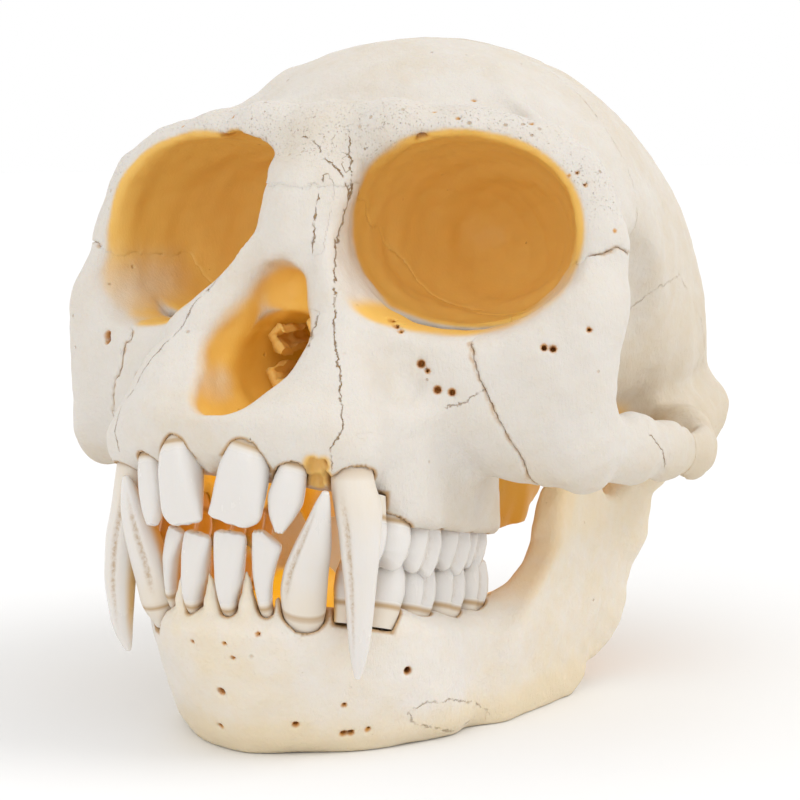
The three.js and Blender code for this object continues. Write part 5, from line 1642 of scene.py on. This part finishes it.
@dataclass(frozen=True)
class NoseScrolls:
    """The thin scrolls of bone inside the nose, each a strip rolled up along its length."""

    places: tuple[tuple[Point, float, float], ...] = (
        ((3.4, -1.6, 43.4), 1.0, 0.3), ((-3.0, -2.0, 43.0), -1.0, 0.6),
        ((2.6, -2.6, 47.8), 0.8, 1.6), ((-2.4, -2.6, 47.4), -0.8, 1.9), ((1.2, -2.2, 51.0), 0.6, 2.6))
    length: float = 10.0
    radius: float = 2.7
    turns: float = 0.55
    thickness: float = 1.0
    wrinkle: float = 2.4
    lump_scale: float = 420.0
    core: float = 0.2
    spiral_points: int = 56
    strip_points: int = 40

    def tree(self) -> GrowthTree:
        """Build the tree: a strip swept along a spiral at every point."""
        sizes = dict.fromkeys(("Radius", "Turns", "Length", "Thickness", "Wrinkle"), "NodeSocketFloat")
        sizes["Material"] = "NodeSocketMaterial"
        g = GrowthTree("nose_scrolls", sizes)
        spiral = g.node("GeometryNodeCurveSpiral", Resolution=self.spiral_points, Rotations=g.given["Turns"],
                        Height=0.0, Start_Radius=self.core * MM, End_Radius=g.given["Radius"])
        strip = g.node("GeometryNodeCurvePrimitiveQuadrilateral", Width=g.given["Thickness"],
                       Height=g.given["Length"])
        fine = g.node("GeometryNodeResampleCurve", Curve=strip.outputs[0], Count=self.strip_points)
        swept = g.node("GeometryNodeCurveToMesh", Curve=spiral.outputs[0], Profile_Curve=fine.outputs[0],
                       Fill_Caps=True)
        lumps = g.node("ShaderNodeTexNoise", Scale=self.lump_scale, Detail=2.0)
        centred = g.node("ShaderNodeVectorMath", {"operation": "SUBTRACT"}, s0=lumps.outputs[1],
                         s1=(0.5, 0.5, 0.5))
        shift = g.node("ShaderNodeVectorMath", {"operation": "SCALE"}, s0=centred.outputs[0],
                       Scale=g.given["Wrinkle"])
        wrinkled = g.node("GeometryNodeSetPosition", Geometry=swept.outputs[0], Offset=shift.outputs[0])
        turn = g.node("GeometryNodeInputNamedAttribute", {"data_type": "FLOAT_VECTOR"}, Name="turn")
        size = g.node("GeometryNodeInputNamedAttribute", {"data_type": "FLOAT_VECTOR"}, Name="size")
        rotation = g.node("FunctionNodeEulerToRotation", Euler=turn.outputs[0])
        spread = g.node("GeometryNodeInstanceOnPoints", Points=g.given["Geometry"],
                        Instance=wrinkled.outputs[0], Rotation=rotation.outputs[0], Scale=size.outputs[0])
        g.end(spread.outputs[0])
        return g

    def build(self, finish: BoneFinish) -> Piece:
        """Make the scrolls as one piece."""
        piece = Piece.of_points("nose_scrolls", [place for place, _, _ in self.places])
        turns = [(math.pi / 2.0, turn, 0.0) for _, _, turn in self.places]
        piece.give_vectors("turn", turns)
        piece.give_vectors("size", [(size, abs(size), abs(size)) for _, size, _ in self.places])
        material = finish.material()
        self.tree().grow(piece, {
            "Radius": self.radius * MM, "Turns": self.turns, "Length": self.length * MM,
            "Thickness": self.thickness * MM, "Wrinkle": self.wrinkle * MM, "Material": material})
        count = len(piece.item.data.vertices)
        far = {name: np.full(count, AWAY) for name in ("gap", "pit", "rim", "seam")}
        # The scrolls lie deep in the nose: painted amber all over and brightened as the deep orbits are,
        # painted shade and glow.
        piece.paint({"amber_and_shade": np.ones(count), "deep": np.ones(count), "hot": np.zeros(count),
                     "cream": np.ones(count), "pores": np.zeros(count), "seam_on": np.zeros(count), **far})
        piece.dress(material, "bone", [])
        return piece


# The studio


class LightKind(Enum):
    """The kinds of lamp in the studio."""

    WALL = "SUN"
    BOX = "AREA"


@dataclass(frozen=True)
class Lamp:
    """A soft light aimed at the skull: a softbox, or a bright wall that lights the whole table evenly.

    The spread of a wall is the angle it fills, in radians; that of a box is the length of its side in metres.
    """

    name: str
    kind: LightKind
    place: Point
    aim: Point
    spread: float
    power: float
    color: Color = (1.0, 1.0, 1.0)

    def build(self) -> bpy.types.Object:
        """Hang the light."""
        lamp = bpy.data.lights.new(self.name, self.kind.value)
        lamp.energy = self.power
        lamp.color = self.color
        if self.kind is LightKind.WALL:
            lamp.angle = self.spread
        else:
            lamp.shape = "SQUARE"
            lamp.size = self.spread
        item = bpy.data.objects.new(self.name, lamp)
        item.location = self.place
        item.rotation_euler = (Vector(self.aim) - Vector(self.place)).to_track_quat("-Z", "Y").to_euler()
        bpy.context.scene.collection.objects.link(item)
        return item


@dataclass(frozen=True)
class Studio:
    """The pale table, the soft lights and the camera."""

    azimuth: float = math.radians(28.0)
    elevation: float = math.radians(6.3)
    roll: float = math.radians(-0.63)
    distance: float = 311.0
    aside: float = 9.01
    lift: float = -30.98
    brow_height: float = 70.0
    lens: float = 117.7
    sensor: float = 36.0
    near_and_far: Corner = (0.01, 50.0)
    floor_radius: float = 3.0
    floor_sides: int = 64
    floor_finish: PlainFinish = PlainFinish("table_white", (0.88, 0.88, 0.88))
    world_color: Color = (1.0, 1.0, 1.0)
    world_strength: float = 1.0
    lights: tuple[Lamp, ...] = (
        Lamp("key", LightKind.WALL, (0.78, 0.25, 0.95), (0.0, 0.0, 0.04), 0.6, 0.75),
        Lamp("fill", LightKind.BOX, (0.1, -0.8, 0.45), (0.0, -0.02, 0.04), 0.6, 0.8))

    def camera(self) -> bpy.types.Object:
        """Set the camera where the photograph was taken from."""
        back = Vector((math.sin(self.azimuth) * math.cos(self.elevation),
                       -math.cos(self.azimuth) * math.cos(self.elevation), math.sin(self.elevation)))
        level = Vector((math.cos(self.azimuth), math.sin(self.azimuth), 0.0))
        upright = back.cross(level)
        right = math.cos(self.roll) * level + math.sin(self.roll) * upright
        up = math.cos(self.roll) * upright - math.sin(self.roll) * level
        brow = Vector((0.0, 0.0, self.brow_height))
        eye = brow + self.distance * back + self.aside * right + self.lift * up
        lens = bpy.data.cameras.new("camera")
        lens.lens = self.lens
        lens.sensor_width = self.sensor
        lens.clip_start, lens.clip_end = self.near_and_far
        item = bpy.data.objects.new("camera", lens)
        turn = Matrix((right, up, back)).transposed().to_4x4()
        place = Vector(tuple(in_metres([tuple(eye)])[0]))
        item.matrix_world = Matrix.Translation(place) @ turn
        bpy.context.scene.collection.objects.link(item)
        bpy.context.scene.camera = item
        return item

    def floor(self) -> bpy.types.Object:
        """Lay the table."""
        mesh = bpy.data.meshes.new("floor")
        rim = [(self.floor_radius * math.cos(a), self.floor_radius * math.sin(a), 0.0)
               for a in np.linspace(0.0, 2.0 * math.pi, self.floor_sides, endpoint=False)]
        mesh.from_pydata(rim, [], [tuple(range(len(rim)))])
        mesh.materials.append(self.floor_finish.material())
        item = bpy.data.objects.new("floor", mesh)
        bpy.context.scene.collection.objects.link(item)
        return item

    def light(self) -> list[bpy.types.Object]:
        """Hang the lights and brighten the surroundings."""
        world = bpy.data.worlds.new("surroundings")
        world.use_nodes = True
        ground = world.node_tree.nodes["Background"]
        ground.inputs["Color"].default_value = (*self.world_color, 1.0)
        ground.inputs["Strength"].default_value = self.world_strength
        bpy.context.scene.world = world
        return [lamp.build() for lamp in self.lights]

    def build(self) -> None:
        """Set the scene up round the skull."""
        self.floor()
        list(self.light())
        self.camera()
        bpy.context.scene.view_settings.view_transform = "Standard"


# The skull


@dataclass
class Skull:
    """All the pieces of the skull."""

    upper_teeth: ToothRow = ToothRow("upper_teeth", Bone.FACE, (
        incisor((0.1, -1.0, 0.0), (4.9, -24.0, 38.8, 1.2, 1.2), (4.6, -24.7, 37.3, 1.8, 1.9),
                (4.4, -25.2, 36.4, 2.2, 2.3), (4.35, -25.6, 35.2, 2.6, 2.4), (4.0, -26.1, 33.6, 2.95, 2.2),
                (3.6, -26.6, 31.0, 3.05, 1.8), (3.35, -27.0, 29.2, 3.1, 1.2), (2.8, -27.2, 28.3, 2.85, 0.85),
                (2.3, -27.3, 28.0, 2.4, 0.55)),
        incisor((-0.1, -1.0, 0.0), (-4.8, -24.0, 38.6, 1.2, 1.2), (-4.5, -24.7, 37.2, 1.6, 1.9),
                (-4.35, -25.2, 36.3, 1.95, 2.3), (-4.5, -25.6, 35.2, 2.3, 2.4),
                (-4.3, -26.1, 33.2, 2.55, 2.2), (-3.95, -26.6, 31.0, 2.65, 1.8),
                (-3.65, -27.0, 29.0, 2.75, 1.2), (-3.35, -27.2, 28.0, 2.55, 0.85),
                (-2.95, -27.3, 27.5, 2.2, 0.55)),
        incisor((0.45, -1.0, 0.0), (9.3, -22.2, 36.8, 1.0, 1.0), (9.25, -23.1, 35.2, 1.3, 1.5),
                (9.1, -23.8, 34.3, 1.55, 1.9), (8.9, -24.4, 32.6, 1.85, 1.9), (8.55, -24.9, 30.6, 2.05, 1.7),
                (8.25, -25.4, 28.8, 1.45, 1.2), (8.15, -25.7, 27.6, 0.9, 0.8), (8.15, -25.8, 27.0, 0.5, 0.5)),
        incisor((-0.45, -1.0, 0.0), (-9.3, -22.2, 36.8, 1.0, 1.0), (-9.3, -23.1, 35.2, 1.3, 1.5),
                (-9.2, -23.8, 34.3, 1.55, 1.9), (-9.0, -24.4, 32.6, 1.8, 1.8), (-8.8, -24.9, 30.4, 1.9, 1.5),
                (-8.6, -25.4, 28.4, 1.5, 1.1), (-8.5, -25.7, 27.2, 1.0, 0.7), (-8.5, -25.8, 26.8, 0.7, 0.5)),
        tusk((0.75, -0.66, 0.0), (14.5, -19.4, 36.2, 1.6, 1.6), (14.6, -20.2, 34.8, 2.0, 2.1),
             (14.75, -20.8, 33.6, 2.3, 2.4), (14.95, -21.0, 32.0, 2.45, 2.5), (15.7, -21.2, 30.0, 2.75, 2.45),
             (16.0, -21.4, 27.0, 2.4, 2.3), (16.05, -21.5, 24.0, 2.12, 2.1), (15.95, -21.4, 21.4, 1.8, 1.9),
             (15.8, -21.3, 17.5, 1.5, 1.6), (15.6, -21.2, 13.7, 1.12, 1.25), (15.4, -21.2, 11.2, 0.6, 0.7),
             (15.3, -21.2, 10.2, 0.22, 0.25)),
        tusk((-0.75, -0.66, 0.0), (-14.0, -19.4, 36.0, 1.6, 1.5), (-14.1, -20.1, 34.6, 2.0, 1.8),
             (-14.2, -20.6, 33.4, 2.2, 1.95), (-14.4, -20.8, 31.5, 2.5, 2.0), (-14.9, -21.0, 28.0, 2.5, 2.0),
             (-15.75, -21.1, 24.2, 2.1, 2.05), (-16.3, -21.1, 19.0, 1.6, 1.85),
             (-16.2, -21.0, 13.6, 1.1, 1.25),
             (-15.6, -21.0, 11.4, 0.6, 0.65), (-15.35, -21.0, 10.7, 0.25, 0.25))), (
        cheek_tooth((14.9, -18.6), (28.2, 23.3), 2.1, 2.6, 1.4),
        cheek_tooth((15.5, -14.7), (27.0, 22.5), 2.4, 2.9, 1.6),
        cheek_tooth((15.6, -8.4), (25.9, 20.9), 4.0, 3.0, 1.8, 0.3),
        cheek_tooth((15.5, -0.6), (24.5, 19.9), 3.8, 3.1, 1.8, 0.3),
        cheek_tooth((14.9, 5.9), (23.6, 19.2), 2.7, 2.9, 1.4, 0.3)))
    lower_teeth: ToothRow = ToothRow("lower_teeth", Bone.MANDIBLE, (
        incisor((0.1, -1.0, 0.0), (0.9, -23.2, 15.6, 0.7, 0.8), (0.95, -23.9, 16.8, 0.75, 1.1),
                (1.0, -24.6, 18.0, 0.85, 1.4), (1.1, -25.0, 19.5, 1.15, 1.6), (1.35, -25.3, 21.2, 1.6, 1.6),
                (1.7, -25.7, 24.0, 1.85, 1.3), (1.95, -26.0, 26.2, 2.0, 0.8), (2.0, -26.1, 26.85, 1.9, 0.5)),
        incisor((-0.1, -1.0, 0.0), (-3.9, -23.0, 15.6, 0.7, 0.8), (-3.9, -23.6, 16.8, 0.75, 1.1),
                (-3.85, -24.3, 18.0, 0.85, 1.4), (-3.7, -24.7, 19.5, 1.15, 1.6),
                (-3.3, -25.1, 21.2, 1.5, 1.6), (-2.8, -25.6, 24.0, 1.75, 1.3),
                (-2.4, -25.9, 25.9, 1.85, 0.8), (-2.3, -26.0, 26.4, 1.75, 0.5)),
        incisor((0.35, -0.94, 0.0), (5.1, -22.5, 15.8, 0.6, 0.7), (5.1, -23.1, 17.0, 0.65, 1.0),
                (5.05, -23.7, 18.3, 0.75, 1.25), (5.15, -24.2, 20.6, 1.0, 1.4), (5.5, -24.6, 22.8, 1.35, 1.4),
                (6.2, -25.0, 25.2, 1.75, 1.1), (5.8, -25.3, 26.3, 1.25, 0.8), (5.25, -25.5, 27.1, 0.65, 0.5)),
        incisor((-0.35, -0.94, 0.0), (-7.9, -21.5, 15.8, 0.45, 0.6), (-7.95, -22.1, 17.0, 0.5, 0.75),
                (-8.0, -22.7, 18.3, 0.5, 0.85), (-7.75, -23.2, 20.5, 0.65, 0.95),
                (-7.3, -23.8, 23.0, 0.95, 1.0),
                (-6.5, -24.2, 25.4, 1.3, 0.8), (-6.1, -24.4, 26.5, 1.35, 0.5)),
        tusk((0.6, -0.8, 0.0), (8.4, -20.8, 14.6, 1.6, 1.3), (8.7, -21.5, 16.2, 2.1, 1.7),
             (9.0, -22.0, 17.6, 2.5, 2.05), (9.25, -22.4, 20.0, 2.65, 2.1), (9.9, -22.8, 22.6, 2.5, 2.0),
             (11.2, -23.4, 25.6, 2.05, 1.75), (12.3, -23.9, 28.5, 1.3, 1.3), (13.15, -24.4, 30.8, 0.75, 0.75),
             (13.5, -24.5, 31.8, 0.35, 0.35)),
        tusk((-0.6, -0.8, 0.0), (-10.2, -20.3, 14.2, 1.6, 1.3), (-10.4, -21.0, 15.6, 2.0, 1.6),
             (-10.6, -21.6, 17.0, 2.4, 1.95), (-10.9, -22.0, 19.5, 2.55, 2.0), (-11.3, -22.5, 22.5, 2.5, 2.1),
             (-11.9, -23.0, 25.5, 2.1, 2.0), (-12.5, -23.5, 28.5, 1.5, 1.6), (-13.0, -23.9, 31.0, 0.8, 0.8),
             (-13.2, -24.0, 32.0, 0.35, 0.35))), (
        cheek_tooth((12.7, -17.8), (18.2, 22.8), 2.0, 1.7, -1.2),
        cheek_tooth((14.2, -13.2), (17.2, 22.2), 2.9, 2.6, -1.4),
        cheek_tooth((14.5, -6.8), (15.8, 20.7), 3.5, 2.7, -1.4, 0.3),
        cheek_tooth((14.7, 0.3), (14.9, 19.6), 3.6, 2.8, -1.4, 0.3),
        cheek_tooth((15.0, 6.5), (14.3, 18.9), 2.8, 2.7, -1.2, 0.3)))
    plans: tuple[BonePlan, ...] = (
        BonePlan(Bone.BRAINCASE, (-40.0, -10.0, 21.0), (40.0, 84.0, 85.0), 0.45, 190000),
        BonePlan(Bone.FACE, (-30.0, -30.0, 17.0), (30.0, 16.0, 67.0), 0.36, 190000),
        BonePlan(Bone.CHEEKBONE_LEFT, (20.0, -10.0, 24.0), (41.0, 25.0, 59.0), 0.36, 90000),
        BonePlan(Bone.CHEEKBONE_RIGHT, (-41.0, -10.0, 24.0), (-20.0, 25.0, 59.0), 0.36, 90000))
    jaw_plan: BonePlan = field(default_factory=lambda: BonePlan(
        Bone.MANDIBLE, (-30.0, -29.0, -1.0), (30.0, 46.0, 41.0), 0.36, 190000))
    bone_finish: BoneFinish = BoneFinish("dry_bone")
    # The jaw's copy of the bone is painted paler and creamier: its own tone, brightened to paint in the light
    # from below that its lower border misses.
    brightened_jaw_finish: BoneFinish = BoneFinish("dry_jaw_bone_brightened", pale=(0.79, 0.745, 0.69), cream=(0.78, 0.66, 0.47))
    quick_coarseness: float = 2.0

    def sculpt(self, plan: BonePlan, alike: Callable[[Clay], Array], apart: Callable[..., Array]) -> Piece:
        """Sculpt one bone as a piece."""
        step = plan.step * 1.0
        lattice = Lattice(plan.low, plan.high, step)
        points, faces = lattice.skin(lattice.sculpt(alike, apart))
        piece = Piece(plan.bone.value + "_bone", points, faces)
        piece.thin_out(plan.triangles)
        return piece

    def build(self) -> list[Piece]:
        """Make every piece."""
        cranium = Cranium(sockets=self.upper_teeth.sockets())
        jaw = LowerJaw(sockets=self.lower_teeth.sockets())
        pieces = []
        bone = self.bone_finish.material()
        for plan in self.plans:
            piece = self.sculpt(plan, cranium.one_side, cranium.apart(plan.bone))
            piece.paint(cranium.masks(piece.points()))
            piece.dress(bone, "bone", [plan.bone.value])
            pieces.append(piece)
        piece = self.sculpt(self.jaw_plan, jaw.one_side, jaw.apart)
        piece.paint(jaw.masks(piece.points()))
        piece.dress(self.brightened_jaw_finish.material(), "jaw_bone", [self.jaw_plan.bone.value])
        pieces.append(piece)
        enamel = EnamelFinish()
        pieces.append(self.upper_teeth.build(enamel))
        pieces.append(self.lower_teeth.build(enamel))
        pieces.append(NoseScrolls().build(BoneFinish("scroll_bone")))
        return pieces


def main() -> None:
    """Build the skull, then the studio."""
    logging.basicConfig(level=logging.INFO, format="%(name)s %(message)s", stream=sys.stdout)
    Skull().build()
    Studio().build()


if __name__ == "__main__":
    main()
